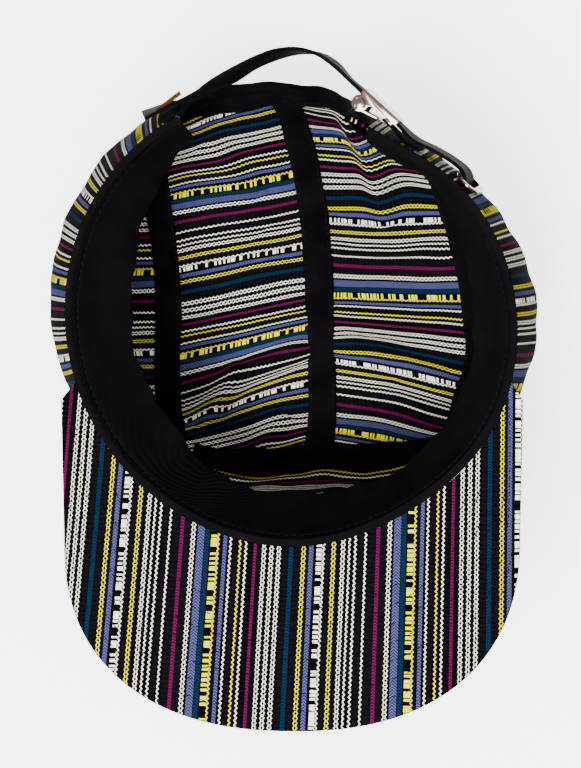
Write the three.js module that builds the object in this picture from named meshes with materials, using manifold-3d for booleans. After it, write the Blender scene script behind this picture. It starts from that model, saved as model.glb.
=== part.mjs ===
import * as THREE from 'three';
import Module from 'manifold-3d';
import { mergeVertices } from 'three/addons/utils/BufferGeometryUtils.js';

// A five-panel cap standing upside down on its crown: rim up, peak towards -Y, strap towards +Y.
// Millimetres, +Z up, origin under the middle of the whole cap, on the surface it stands on.

// Driving dimensions
const ORIGIN = new THREE.Vector2(-1.9, -33.1); // middle of the whole cap, seen from the crown's axis
const CROWN_DEPTH = 105; // rim plane to the flattened top of the crown
const WALL = 1.5; // woven cloth of the panels
const GAP = 0.3; // between pieces that touch
const SEAM_GAP = 0.6; // between two panels at their seam
const TAPE_GAP = 0.6; // between cloth and tape, which bend in facets of different length
const TOP_SHIFT = 6.5; // the soft crown leans this far to +X by the time it reaches its top
const TAPE_WIDTH = 12.5;
const FRONT_TAPE_WIDTH = 18; // over the front seam, whose edges are thicker
const TAPE_THICKNESS = 0.9;
const BINDING_WIDTH = 8.6;
const BAND_WIDTH = 33; // sweatband, from the rim to its free edge
const BAND_THICKNESS = 1.2;
const PEAK_THICKNESS = 3.2;
const PEAK_HALF_WIDTH = 89.5;
const PEAK_SQUARE_TO = -92; // the peak's sides run straight as far forward as this
const PEAK_TIP = -167;
const PEAK_ROUNDNESS = 2.3; // exponent of the superellipse that rounds the front
const PEAK_RISE = 8; // the tip stands this much above the rim plane
const PEAK_ARCH = 7; // the peak's sides stand this much above its middle, at the tip
const STRAP_WIDTH = 15;
const STRAP_THICKNESS = 1.5;
const STRAP_TOP = 104.5;
const METAL = 1.0; // sheet that the clip is stamped from
const CLIP_PIVOT = new THREE.Vector2(28.0, 79.0); // the pin's axis in plan
const CLIP_TURN = -42.7; // degrees from +X to the way the clip points
const CLIP_TILT = 8; // degrees that its lower side stands out
const CLIP_LENGTH = 18.8;
const CLIP_BACK = -2.6; // its end behind the pin
const CLIP_ROOM = 0.5; // beside the strap
const CLIP_TOP = 5.4; // outer face of its plate, out from the pin
const CLIP_SKIRT = 2.8; // lower edge of its side plates
const CLIP_LOBE = 3.3; // radius of its side plates round the pin
const CLIP_NECK = { from: 6.4, to: 4.4, out: 2.6 }; // where the side plates narrow behind the lobe
const BRIDGE = { length: 3.4, thickness: 0.7, fromFront: 3, below: 0.75 };
const EAR = { height: 2, below: 0.1 }; // it carries the bridge
const PIN_RADIUS = 1.2;
const PIN_HEAD = { radius: 2, height: 0.5 };
const LEVER_CURL = 2.9; // outer radius of the lever round its pin
const LEVER_REACH = 9; // its free end
const EYELET = { azimuth: 124.6, height: 91, width: 11.5, tall: 23, slotWidth: 6.4, slotTall: 19, barrel: 0.6 };
const LABEL_THICKNESS = 1.4;
const LABEL_LEAN = { along: -2.6, out: 4.4 }; // its lower edge against its upper one
const LABEL_LIFT = { along: -0.42, out: 0.9 }; // a step off the strap, in plan
// Stations of the label: a place in plan and how far it stands off.
const LABEL = [[-56.8, 73.2, 2.4], [-52.2, 75.8, 2.9], [-47.6, 78.2, 4.0], [-43.6, 80.4, 5.4]];
// The tab: stations inside the clip, along it and out of it, then on the wall, azimuth and sink.
const TAB_IN_CLIP = [[10.5, 0.9], [14, 1.0]];
const TAB_ON_WALL = [[144.5, 0.6], [140, 1.4]];
const TAB_OUT = 1.2;
const BAND_ENDS = [-146, 156]; // azimuths of the sweatband's two ends
const BINDING_BARE = 4; // degrees of the arch left bare at either end
const PEAK_SEAM_END = 70; // azimuth of the peak's corners
const PEAK_SIDE_END = -38; // how far back the peak's sides start
const PEAK_FLARE = 1.2; // the sides' spread towards the back
const PEAK_ROUND_SHARE = 0.8; // share of the outline that is rounded
const PEAK_BOW = -0.012; // sag of the peak between seam and edge, as a share of its length

// The crown's outline at azimuths from 0, the front, growing towards +X.
// rim, belly, shoulder and flat are radii; drop, bellyDepth and shoulderDepth are depths below the
// rim plane; the cloth lies flat inside flat; lean is how far the sweatband's free edge tips in.
const CROWN = [
  { rim: 95.2, drop: 3.0, belly: 80.5, bellyDepth: 42, shoulder: 67, shoulderDepth: 94, flat: 45, lean: 17 },
  { rim: 93.2, drop: 1.8, belly: 86.5, bellyDepth: 43, shoulder: 74, shoulderDepth: 89, flat: 43, lean: 14 },
  { rim: 92.6, drop: 0.3, belly: 93.5, bellyDepth: 45, shoulder: 77, shoulderDepth: 86, flat: 39, lean: 14 },
  { rim: 87.6, drop: 0.0, belly: 93.7, bellyDepth: 45, shoulder: 73, shoulderDepth: 87, flat: 38, lean: 15 },
  { rim: 81.2, drop: 0.0, belly: 86.5, bellyDepth: 45, shoulder: 71, shoulderDepth: 87, flat: 36, lean: 5 },
  { rim: 74.8, drop: 0.0, belly: 79.8, bellyDepth: 45, shoulder: 71, shoulderDepth: 85, flat: 36, lean: 1.5 },
  { rim: 80.5, drop: 0.0, belly: 89.8, bellyDepth: 47, shoulder: 73, shoulderDepth: 84, flat: 37, lean: 1.5 },
  { rim: 85.5, drop: 0.0, belly: 97.0, bellyDepth: 45, shoulder: 76, shoulderDepth: 85, flat: 38, lean: 4 },
  { rim: 87.6, drop: 0.0, belly: 102.5, bellyDepth: 45, shoulder: 79, shoulderDepth: 87, flat: 40, lean: 15.5 },
  { rim: 88.8, drop: 0.0, belly: 103.0, bellyDepth: 45, shoulder: 77, shoulderDepth: 87, flat: 40, lean: 20 },
  { rim: 90.8, drop: 0.3, belly: 98.0, bellyDepth: 45, shoulder: 80, shoulderDepth: 86, flat: 41, lean: 21.5 },
  { rim: 93.4, drop: 1.8, belly: 88.0, bellyDepth: 43, shoulder: 77, shoulderDepth: 89, flat: 43, lean: 18 },
];
// How far out each ring lies, on the way from the pole (0) to the rim (1).
const REACH = { flat: 0.24, shoulder: 0.46, belly: 0.74 };

// Seams, each row an azimuth in degrees and a reach.
const SIDE_SEAM_RIGHT = [
  [59, 1.0], [53, 0.8], [47, 0.64], [47, 0.51], [57, 0.45], [72, 0.43],
  [90, 0.42], [110, 0.43], [130, 0.49], [146, 0.62], [157, 0.77], [165.2, 0.872],
];
const SIDE_SEAM_LEFT = [
  [-59, 1.0], [-53, 0.8], [-47, 0.64], [-47, 0.51], [-57, 0.44], [-72, 0.40],
  [-90, 0.39], [-108, 0.41], [-123, 0.48], [-134, 0.61], [-143, 0.75], [-151.2, 0.872],
];
const CORNER_ROW = 3; // the row of a side seam where the front seam meets it
const FRONT_SEAM = [[-47, 0.51], [-24, 0.455], [0, 0.435], [24, 0.445], [47, 0.51]];
const CENTRE_SEAM = [[-1, 0.435], [0, 0.2], [185, 0.12], [185.5, 0.42], [187, 0.72]];
// The arch at the back: half an ellipse in azimuth and reach. The side seams end on it.
const ARCH = { azimuth: 187, halfSpan: 24, height: 0.28, roundness: 0.9 };
const ARCH_SEAM_ANGLE = 25;

// The strap stands on edge. Each row gives its upper edge and its lower edge in plan.
const STRAP = [
  { upper: [-57.5, 72.4], lower: [-60.6, 76.8] },
  { upper: [-48.0, 77.2], lower: [-50.5, 83.4] },
  { upper: [-39.0, 81.4], lower: [-39.8, 85.8] },
  { upper: [-31.5, 87.2], lower: [-32.2, 85.4] },
  { upper: [-23.2, 92.0], lower: [-23.4, 88.6] },
  { upper: [-14.6, 96.2], lower: [-14.8, 94.0] },
  { upper: [-6.0, 99.2], lower: [-6.2, 97.6] },
  { upper: [3.0, 99.6], lower: [3.1, 99.8] },
  { upper: [10.6, 97.2], lower: [11.4, 99.2] },
  { upper: [17.0, 92.6], lower: [18.2, 95.2] },
  { upper: [22.4, 87.6], lower: [23.2, 89.2] },
];
// Stations of the strap inside the clip, along it and out from its pin.
const STRAP_IN_CLIP = { stations: [-3, 4, 10.5, 17], out: 3.45 };
// The free end lies along the right side panel and dives into the eyelet: out is how far it
// stands off the cloth, and sink how far it has come down.
const TAIL = [
  { azimuth: 143, out: 3.6, sink: 0.8 },
  { azimuth: 137, out: 4.0, sink: 2.2 },
  { azimuth: 131.5, out: 4.2, sink: 3.8 },
  { azimuth: 127.8, out: 3.9, sink: 4.9 },
  { azimuth: 125.8, out: 2.6, sink: 5.3 },
  { azimuth: 124.8, out: 0.5, sink: 5.5 },
  { azimuth: 124.2, out: -1.7, sink: 5.5 },
  { azimuth: 123.2, out: -3.0, sink: 5.5 },
];

const BLACK_COTTON = { color: 0x121113, roughness: 0.95, metalness: 0 };
const WOVEN_COTTON = { color: 0x1b1a22, roughness: 0.9, metalness: 0 };
const BLACK_LEATHER = { color: 0x2a2a2c, roughness: 0.5, metalness: 0 };
const BROWN_LEATHER = { color: 0x6b3a17, roughness: 0.6, metalness: 0 };
const NICKEL = { color: 0x9c9088, roughness: 0.3, metalness: 1 };

const radians = THREE.MathUtils.degToRad;

// The crown's surface

// Slopes at the knots of a smooth curve through (xs, ys).
function slopes(xs, ys) {
  const chords = ys.slice(1).map((y, i) => (y - ys[i]) / (xs[i + 1] - xs[i]));
  return xs.map((x, i) => {
    if (i === 0) {
      return chords[0];
    }
    if (i === xs.length - 1) {
      return 1.5 * chords[i - 1] - 0.5 * ((chords[i - 2] + chords[i - 1]) / 2);
    }
    const before = x - xs[i - 1];
    const after = xs[i + 1] - x;
    return (chords[i - 1] * after + chords[i] * before) / (before + after);
  });
}

function hermite(xs, ys, ms, x) {
  const last = xs.length - 1;
  if (x >= xs[last]) {
    return ys[last] + ms[last] * (x - xs[last]);
  }
  const i = Math.max(0, xs.findIndex((knot) => knot > x) - 1);
  const width = xs[i + 1] - xs[i];
  const t = (x - xs[i]) / width;
  const rest = 1 - t;
  const start = rest * rest * ((1 + 2 * t) * ys[i] + t * width * ms[i]);
  const end = t * t * ((1 + 2 * rest) * ys[i + 1] - rest * width * ms[i + 1]);
  return start + end;
}

// One row of CROWN at any azimuth, by Catmull-Rom between the rows.
function crownRow(azimuth) {
  const place = (((azimuth / (2 * Math.PI)) % 1) + 1) % 1 * CROWN.length;
  const i = Math.floor(place);
  const f = place - i;
  const weights = [
    f * (f * (2 - f) - 1) / 2,
    (f * f * (3 * f - 5) + 2) / 2,
    f * (f * (4 - 3 * f) + 1) / 2,
    f * f * (f - 1) / 2,
  ];
  const row = {};
  for (const column of Object.keys(CROWN[0])) {
    row[column] = weights.reduce(
      (sum, weight, k) => sum + weight * CROWN[(i + k - 1 + CROWN.length) % CROWN.length][column], 0);
  }
  return row;
}

// A place on the crown is a disk point: its angle is the azimuth, its length the reach.
function disk([azimuth, reach]) {
  return new THREE.Vector2(reach * Math.sin(radians(azimuth)), -reach * Math.cos(radians(azimuth)));
}

const RING_REACHES = [0, REACH.flat, REACH.shoulder, REACH.belly, 1];

function crownPoint(place) {
  const azimuth = Math.atan2(place.x, -place.y);
  const row = crownRow(azimuth);
  const radii = [0, row.flat, row.shoulder, row.belly, row.rim];
  const depths = [CROWN_DEPTH, CROWN_DEPTH, row.shoulderDepth, row.bellyDepth, row.drop];
  const depthSlopes = slopes(RING_REACHES, depths);
  depthSlopes[0] = 0;
  depthSlopes[1] = 0;
  const radius = hermite(RING_REACHES, radii, slopes(RING_REACHES, radii), place.length());
  const depth = hermite(RING_REACHES, depths, depthSlopes, place.length());
  return new THREE.Vector3(
    radius * Math.sin(azimuth) + TOP_SHIFT * depth / CROWN_DEPTH,
    -radius * Math.cos(azimuth),
    CROWN_DEPTH - depth);
}

const STEP = 0.004; // disk step for slopes of the surface

function crownFrame(place) {
  const alongX = crownPoint(new THREE.Vector2(place.x + STEP, place.y))
    .sub(crownPoint(new THREE.Vector2(place.x - STEP, place.y))).divideScalar(2 * STEP);
  const alongY = crownPoint(new THREE.Vector2(place.x, place.y + STEP))
    .sub(crownPoint(new THREE.Vector2(place.x, place.y - STEP))).divideScalar(2 * STEP);
  const inward = alongX.clone().cross(alongY).normalize();
  return { alongX, alongY, inward };
}

// The point that lies depth inside the outer surface at a disk place.
function under(place, depth) {
  return crownPoint(place).addScaledVector(crownFrame(place).inward, depth);
}

// The disk place that lies a distance in mm from place, in the disk direction given.
function moved(place, direction, distance) {
  const { alongX, alongY } = crownFrame(place);
  const stretch = alongX.multiplyScalar(direction.x).addScaledVector(alongY, direction.y).length();
  return place.clone().addScaledVector(direction, distance / stretch);
}

// Solids

// A closed body through rings of points. A ring is a strip's section: its first half runs across
// the strip, and its second half runs back on the other side.
function loft(rings) {
  const count = rings[0].length;
  const positions = rings.flat().flatMap((point) => point.toArray());
  const faces = [];
  for (let i = 0; i + 1 < rings.length; i += 1) {
    for (let j = 0; j < count; j += 1) {
      const a = i * count + j;
      const b = i * count + (j + 1) % count;
      faces.push(a, b, b + count, a, b + count, a + count);
    }
  }
  const last = (rings.length - 1) * count;
  for (let j = 0; j + 1 < count / 2; j += 1) {
    const [a, b, c, d] = [j, j + 1, count - 2 - j, count - 1 - j];
    faces.push(c, b, a, d, c, a, last + a, last + b, last + c, last + a, last + c, last + d);
  }
  const geometry = new THREE.BufferGeometry();
  geometry.setAttribute('position', new THREE.Float32BufferAttribute(positions, 3));
  geometry.setIndex(faces);
  return facingOut(geometry);
}

function facingOut(geometry) {
  const { array } = geometry.attributes.position;
  const index = geometry.index.array;
  const corner = (i) => new THREE.Vector3().fromArray(array, 3 * index[i]);
  let volume = 0;
  for (let i = 0; i < index.length; i += 3) {
    volume += corner(i).dot(corner(i + 1).cross(corner(i + 2)));
  }
  if (volume < 0) {
    index.reverse();
  }
  return geometry;
}

const parts = new THREE.Group();

function add(name, geometry, finish) {
  geometry.computeVertexNormals();
  const mesh = new THREE.Mesh(geometry, new THREE.MeshStandardMaterial(finish));
  mesh.name = name;
  parts.add(mesh);
}

function seamCurve(rows) {
  return new THREE.CatmullRomCurve3(rows.map((row) => {
    const { x, y } = disk(row);
    return new THREE.Vector3(x, y, 0);
  }));
}

// A stretch of a seam, as a function from 0..1 to a disk place.
function stretch(curve, from, to) {
  return (t) => {
    const { x, y } = curve.getPoint(THREE.MathUtils.lerp(from, to, t));
    return new THREE.Vector2(x, y);
  };
}

function arch(degrees) {
  const across = Math.cos(radians(degrees));
  const up = Math.sin(radians(degrees)) ** ARCH.roundness;
  return disk([ARCH.azimuth - ARCH.halfSpan * across, 1 - ARCH.height * up]);
}

const rightSeam = seamCurve(SIDE_SEAM_RIGHT);
const leftSeam = seamCurve(SIDE_SEAM_LEFT);
const frontSeam = seamCurve(FRONT_SEAM);
const centreSeam = seamCurve(CENTRE_SEAM);
const CORNER = CORNER_ROW / (SIDE_SEAM_RIGHT.length - 1);

// A panel is the cloth between four edges, each a function from 0..1 to a disk place: near and far
// run the same way across, and left and right join their ends.
// Facets crowd towards the far edge and the right edge, where the crown bends most.
function panel(near, far, left, right, across, along, crowdAlong) {
  const rings = [];
  const crowded = (t) => 1 - (1 - t) ** 1.4;
  const size = [
    crownPoint(near(0.5)).distanceTo(crownPoint(far(0.5))),
    crownPoint(left(0.5)).distanceTo(crownPoint(right(0.5))),
  ];
  const inside = (t, length) => THREE.MathUtils.lerp(SEAM_GAP / 2 / length, 1 - SEAM_GAP / 2 / length, t);
  for (let i = 0; i <= along; i += 1) {
    const v = inside(crowdAlong ? crowded(i / along) : i / along, size[0]);
    const places = [];
    for (let j = 0; j <= across; j += 1) {
      const u = inside(crowdAlong ? j / across : crowded(j / across), size[1]);
      const ruled = near(u).lerp(far(u), v).add(left(v).lerp(right(v), u));
      const corners = near(0).lerp(near(1), u).lerp(far(0).lerp(far(1), u), v);
      places.push(ruled.sub(corners));
    }
    const outside = places.map((place) => crownPoint(place));
    const lining = places.map((place) => under(place, WALL)).reverse();
    rings.push([...outside, ...lining]);
  }
  return loft(rings);
}

// A strip of tape on the inside of the crown, centred on a stretch of a seam.
function tape(route, steps, layer, width) {
  const rings = [];
  for (let i = 0; i <= steps; i += 1) {
    const t = i / steps;
    const place = route(t);
    const ahead = route(Math.min(1, t + 0.01)).sub(route(Math.max(0, t - 0.01))).normalize();
    const side = new THREE.Vector2(-ahead.y, ahead.x);
    const edges = [-0.5, 0, 0.5].map((share) => moved(place, side, share * width));
    const outer = edges.map((edge) => under(edge, layer));
    const inner = edges.map((edge) => under(edge, layer + TAPE_THICKNESS)).reverse();
    rings.push([...outer, ...inner]);
  }
  return loft(rings);
}

function addPanels() {
  const rim = (from, to) => (t) => disk([THREE.MathUtils.lerp(from, to, t), 1]);
  const rightCorner = SIDE_SEAM_RIGHT[0][0];
  const leftCorner = SIDE_SEAM_LEFT[0][0];
  const middle = 0.5;
  add('front_panel', panel(rim(leftCorner, rightCorner), stretch(frontSeam, 0, 1),
    stretch(leftSeam, 0, CORNER), stretch(rightSeam, 0, CORNER), 20, 10, true), WOVEN_COTTON);
  const archRight = ARCH.azimuth - ARCH.halfSpan;
  const archLeft = ARCH.azimuth + ARCH.halfSpan - 360;
  add('side_panel_right', panel(rim(rightCorner, archRight), stretch(rightSeam, CORNER, 1),
    stretch(rightSeam, 0, CORNER), (t) => arch(ARCH_SEAM_ANGLE * t), 22, 10, true), WOVEN_COTTON);
  add('side_panel_left', panel(rim(leftCorner, archLeft), stretch(leftSeam, CORNER, 1),
    stretch(leftSeam, 0, CORNER), (t) => arch(180 - ARCH_SEAM_ANGLE * t), 22, 10, true), WOVEN_COTTON);
  add('top_panel_right', panel(stretch(frontSeam, middle, 1), (t) => arch(90 - (90 - ARCH_SEAM_ANGLE) * t),
    stretch(centreSeam, 0, 1), stretch(rightSeam, CORNER, 1), 9, 24, false), WOVEN_COTTON);
  add('top_panel_left', panel(stretch(frontSeam, middle, 0), (t) => arch(90 + (90 - ARCH_SEAM_ANGLE) * t),
    stretch(centreSeam, 0, 1), stretch(leftSeam, CORNER, 1), 9, 24, false), WOVEN_COTTON);
}

function addTapes() {
  const layer = WALL + TAPE_GAP;
  // Each tape's seam, where on it the tape starts and ends, its number of facets and its width.
  const rows = [
    { name: 'side_seam_tape_right', seam: rightSeam, from: 0.03, to: 0.935, steps: 28, width: TAPE_WIDTH },
    { name: 'side_seam_tape_left', seam: leftSeam, from: 0.03, to: 0.935, steps: 28, width: TAPE_WIDTH },
    { name: 'front_seam_tape', seam: frontSeam, from: 0.085, to: 0.915, steps: 16, width: FRONT_TAPE_WIDTH },
    { name: 'centre_seam_tape', seam: centreSeam, from: 0.092, to: 0.94, steps: 24, width: TAPE_WIDTH },
  ];
  for (const { name, seam, from, to, steps, width } of rows) {
    add(name, tape(stretch(seam, from, to), steps, layer, width), BLACK_COTTON);
  }
}

// The binding is folded over the arch's edge, a channel with the cloth in it.
function addArchBinding() {
  const depths = [-GAP - TAPE_THICKNESS, -GAP, WALL + GAP, WALL + GAP + TAPE_THICKNESS];
  const [outside, slotTop, slotFloor, inside] = depths;
  const edge = -GAP - TAPE_THICKNESS;
  const half = BINDING_WIDTH / 2;
  const section = [
    [BINDING_WIDTH, outside], [half, outside], [edge, outside],
    [edge, inside], [half, inside], [BINDING_WIDTH, inside],
    [BINDING_WIDTH, slotFloor], [half, slotFloor], [-GAP, slotFloor],
    [-GAP, slotTop], [half, slotTop], [BINDING_WIDTH, slotTop],
  ];
  const steps = 22;
  const rings = [];
  for (let i = 0; i <= steps; i += 1) {
    const angle = THREE.MathUtils.lerp(BINDING_BARE, 180 - BINDING_BARE, i / steps);
    const place = arch(angle);
    const ahead = arch(angle + 1).sub(arch(angle - 1)).normalize();
    const intoCloth = new THREE.Vector2(-ahead.y, ahead.x);
    rings.push(section.map(([reach, depth]) => under(moved(place, intoCloth, reach), depth)));
  }
  add('arch_binding', loft(rings), BLACK_COTTON);
}

// The sweatband stands on the rim, inside the wall, and its free edge tips in.
function addSweatband() {
  const [from, to] = BAND_ENDS;
  const steps = 48;
  const spans = 2;
  const rings = [];
  for (let i = 0; i <= steps; i += 1) {
    const azimuth = THREE.MathUtils.lerp(from, to, i / steps);
    const rimPlace = disk([azimuth, 1]);
    const { lean } = crownRow(radians(azimuth));
    const foot = under(rimPlace, WALL + GAP);
    const inward = new THREE.Vector3(-Math.sin(radians(azimuth)), Math.cos(radians(azimuth)), 0);
    const fall = Math.sqrt(BAND_WIDTH ** 2 - lean ** 2);
    const across = inward.clone().multiplyScalar(fall / BAND_WIDTH);
    across.z = lean / BAND_WIDTH;
    const outer = [];
    for (let j = 0; j <= spans; j += 1) {
      const t = j / spans;
      outer.push(foot.clone().addScaledVector(inward, lean * t).add(new THREE.Vector3(0, 0, -fall * t)));
    }
    const inner = outer.map((point) => point.clone().addScaledVector(across, BAND_THICKNESS)).reverse();
    rings.push([...outer, ...inner]);
  }
  add('sweatband', loft(rings), BLACK_COTTON);
}

// The peak is sewn to the rim's outer edge. Its sides run straight and its front is rounded.
function addPeak() {
  const steps = 36;
  const spans = 5;
  const rings = [];
  for (let i = 0; i <= steps; i += 1) {
    const s = THREE.MathUtils.lerp(-1, 1, i / steps);
    const azimuth = s * PEAK_SEAM_END;
    const seamTop = under(disk([azimuth, 1]), -GAP);
    seamTop.z = crownPoint(disk([azimuth, 1])).z;
    const seamBottom = under(disk([azimuth, 1 - PEAK_THICKNESS * 0.006]), -GAP);
    seamBottom.z = seamTop.z - PEAK_THICKNESS;
    const edge = peakEdge(s);
    edge.z = CROWN_DEPTH - CROWN[0].drop + peakLift(edge);
    const top = [];
    const bottom = [];
    for (let j = 0; j <= spans; j += 1) {
      const t = j / spans;
      const bow = 4 * t * (1 - t) * (edge.y - seamTop.y) * PEAK_BOW;
      top.push(seamTop.clone().lerp(edge, t).add(new THREE.Vector3(0, 0, bow)));
      const lowerEdge = edge.clone().add(new THREE.Vector3(0, 0, -PEAK_THICKNESS));
      bottom.push(seamBottom.clone().lerp(lowerEdge, t).add(new THREE.Vector3(0, 0, bow)));
    }
    rings.push([...top, ...bottom.reverse()]);
  }
  add('peak', loft(rings), WOVEN_COTTON);
}

// A point of the peak's outer edge in plan, s from -1 at the left corner to 1 at the right one.
function peakEdge(s) {
  const side = Math.sign(s);
  const t = Math.min(1, Math.abs(s) / PEAK_ROUND_SHARE) * Math.PI / 2;
  if (Math.abs(s) <= PEAK_ROUND_SHARE) {
    const power = 2 / PEAK_ROUNDNESS;
    return new THREE.Vector3(
      side * PEAK_HALF_WIDTH * Math.sin(t) ** power,
      PEAK_SQUARE_TO + (PEAK_TIP - PEAK_SQUARE_TO) * Math.cos(t) ** power,
      0);
  }
  const back = (Math.abs(s) - PEAK_ROUND_SHARE) / (1 - PEAK_ROUND_SHARE);
  return new THREE.Vector3(side * (PEAK_HALF_WIDTH + PEAK_FLARE * back),
    THREE.MathUtils.lerp(PEAK_SQUARE_TO, PEAK_SIDE_END, back), 0);
}

function peakLift(edge) {
  const forward = THREE.MathUtils.clamp((-CROWN[0].rim - edge.y) / (-CROWN[0].rim - PEAK_TIP), 0, 1);
  const across = (edge.x / PEAK_HALF_WIDTH) ** 2;
  return PEAK_RISE * forward + across * THREE.MathUtils.lerp(CROWN[0].drop, PEAK_ARCH, forward);
}

// The wall's outer face at an azimuth and a height, its normal, and the way out of it in plan.
function wallAt(azimuth, height) {
  let [low, high] = [REACH.shoulder, 1];
  for (let i = 0; i < 30; i += 1) {
    const middle = (low + high) / 2;
    if (crownPoint(disk([azimuth, middle])).z < height) {
      low = middle;
    } else {
      high = middle;
    }
  }
  const place = disk([azimuth, low]);
  const normal = crownFrame(place).inward.negate();
  return { point: crownPoint(place), normal, out: normal.clone().setZ(0).normalize() };
}

// From the clip's own axes, along it, out of it and up, to the cap's.
function clipMatrix() {
  const matrix = new THREE.Matrix4().makeRotationZ(radians(CLIP_TURN));
  matrix.multiply(new THREE.Matrix4().makeRotationX(radians(CLIP_TILT)));
  const middle = STRAP_TOP - STRAP_WIDTH / 2;
  return matrix.premultiply(new THREE.Matrix4().makeTranslation(CLIP_PIVOT.x, CLIP_PIVOT.y, middle));
}

// The strap's upper and lower edges, from its sewn end to its free one.
function strapEdges() {
  const upper = STRAP.map((row) => new THREE.Vector3(...row.upper, STRAP_TOP));
  const lower = STRAP.map((row) => new THREE.Vector3(...row.lower, STRAP_TOP - STRAP_WIDTH));
  const matrix = clipMatrix();
  for (const along of STRAP_IN_CLIP.stations) {
    const { out } = STRAP_IN_CLIP;
    upper.push(new THREE.Vector3(along, out, STRAP_WIDTH / 2).applyMatrix4(matrix));
    lower.push(new THREE.Vector3(along, out, -STRAP_WIDTH / 2).applyMatrix4(matrix));
  }
  for (const { azimuth, out, sink } of TAIL) {
    for (const [edge, height] of [[upper, STRAP_TOP - sink], [lower, STRAP_TOP - STRAP_WIDTH - sink]]) {
      const wall = wallAt(azimuth, height);
      edge.push(wall.point.addScaledVector(wall.out, out));
    }
  }
  return { upper, lower };
}

// A flat strip on edge between two rows of points.
function ribbon(upper, lower, thickness, steps) {
  const top = new THREE.CatmullRomCurve3(upper);
  const foot = new THREE.CatmullRomCurve3(lower);
  const rings = [];
  for (let i = 0; i <= steps; i += 1) {
    const t = i / steps;
    const ahead = top.getTangent(t).add(foot.getTangent(t)).setZ(0).normalize();
    const outward = new THREE.Vector3(-ahead.y, ahead.x, 0).multiplyScalar(thickness / 2);
    const edges = [0, 0.5, 1].map((share) => top.getPoint(t).lerp(foot.getPoint(t), share));
    const outer = edges.map((point) => point.clone().add(outward));
    const inner = edges.map((point) => point.clone().sub(outward)).reverse();
    rings.push([...outer, ...inner]);
  }
  return loft(rings);
}

function addStrap() {
  const { upper, lower } = strapEdges();
  add('strap', ribbon(upper, lower, STRAP_THICKNESS, 3 * (upper.length - 1)), BLACK_LEATHER);
}

// A short cloth tab under the clip's end, sewn to the side panel behind the strap's free end.
function addTab() {
  const matrix = clipMatrix();
  const upper = [];
  const lower = [];
  const half = STRAP_WIDTH / 2 - 1;
  for (const [along, out] of TAB_IN_CLIP) {
    upper.push(new THREE.Vector3(along, out, half).applyMatrix4(matrix));
    lower.push(new THREE.Vector3(along, out, -half).applyMatrix4(matrix));
  }
  const middle = STRAP_TOP - STRAP_WIDTH / 2;
  for (const [azimuth, sink] of TAB_ON_WALL) {
    for (const [edge, height] of [[upper, middle + half - sink], [lower, middle - half - sink]]) {
      const wall = wallAt(azimuth, height);
      edge.push(wall.point.addScaledVector(wall.out, TAB_OUT));
    }
  }
  add('buckle_tab', ribbon(upper, lower, TAPE_THICKNESS, 9), BLACK_COTTON);
}

// A leather label over the strap's sewn end, its free end standing off.
function addLabel() {
  const lifted = (x, y, out, z) => new THREE.Vector3(x + LABEL_LIFT.along * out, y + LABEL_LIFT.out * out, z);
  const upper = LABEL.map(([x, y, out]) => lifted(x, y, out, STRAP_TOP - 2));
  const lower = LABEL.map(([x, y, out]) => lifted(
    x + LABEL_LEAN.along, y + LABEL_LEAN.out, out, STRAP_TOP - STRAP_WIDTH - 1));
  add('strap_label', ribbon(upper, lower, LABEL_THICKNESS, 6), BROWN_LEATHER);
}

// Metal parts, joined and cut as solids

const wasm = await Module();
wasm.setup();

function solid(geometry) {
  const bare = geometry.clone();
  bare.deleteAttribute('normal');
  bare.deleteAttribute('uv');
  const merged = mergeVertices(bare, 1e-4);
  return new wasm.Manifold(new wasm.Mesh({
    numProp: 3,
    vertProperties: new Float32Array(merged.attributes.position.array),
    triVerts: new Uint32Array(merged.index.array),
  }));
}

function geometryOf(manifold) {
  const mesh = manifold.getMesh();
  const geometry = new THREE.BufferGeometry();
  geometry.setAttribute('position', new THREE.BufferAttribute(mesh.vertProperties, 3));
  geometry.setIndex(new THREE.BufferAttribute(mesh.triVerts, 1));
  return geometry;
}

// An outline's points without those that repeat the one before.
function distinct(points) {
  return points.filter((point, i) => point.distanceTo(points.at(i - 1)) > 1e-3);
}

// A flat shape given a thickness, from one height up.
function plate(outline, from, thickness, curveSegments) {
  const shape = new THREE.Shape(distinct(outline.getPoints(curveSegments)));
  const geometry = new THREE.ExtrudeGeometry(shape, { depth: thickness, bevelEnabled: false });
  return geometry.translate(0, 0, from);
}

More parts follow.
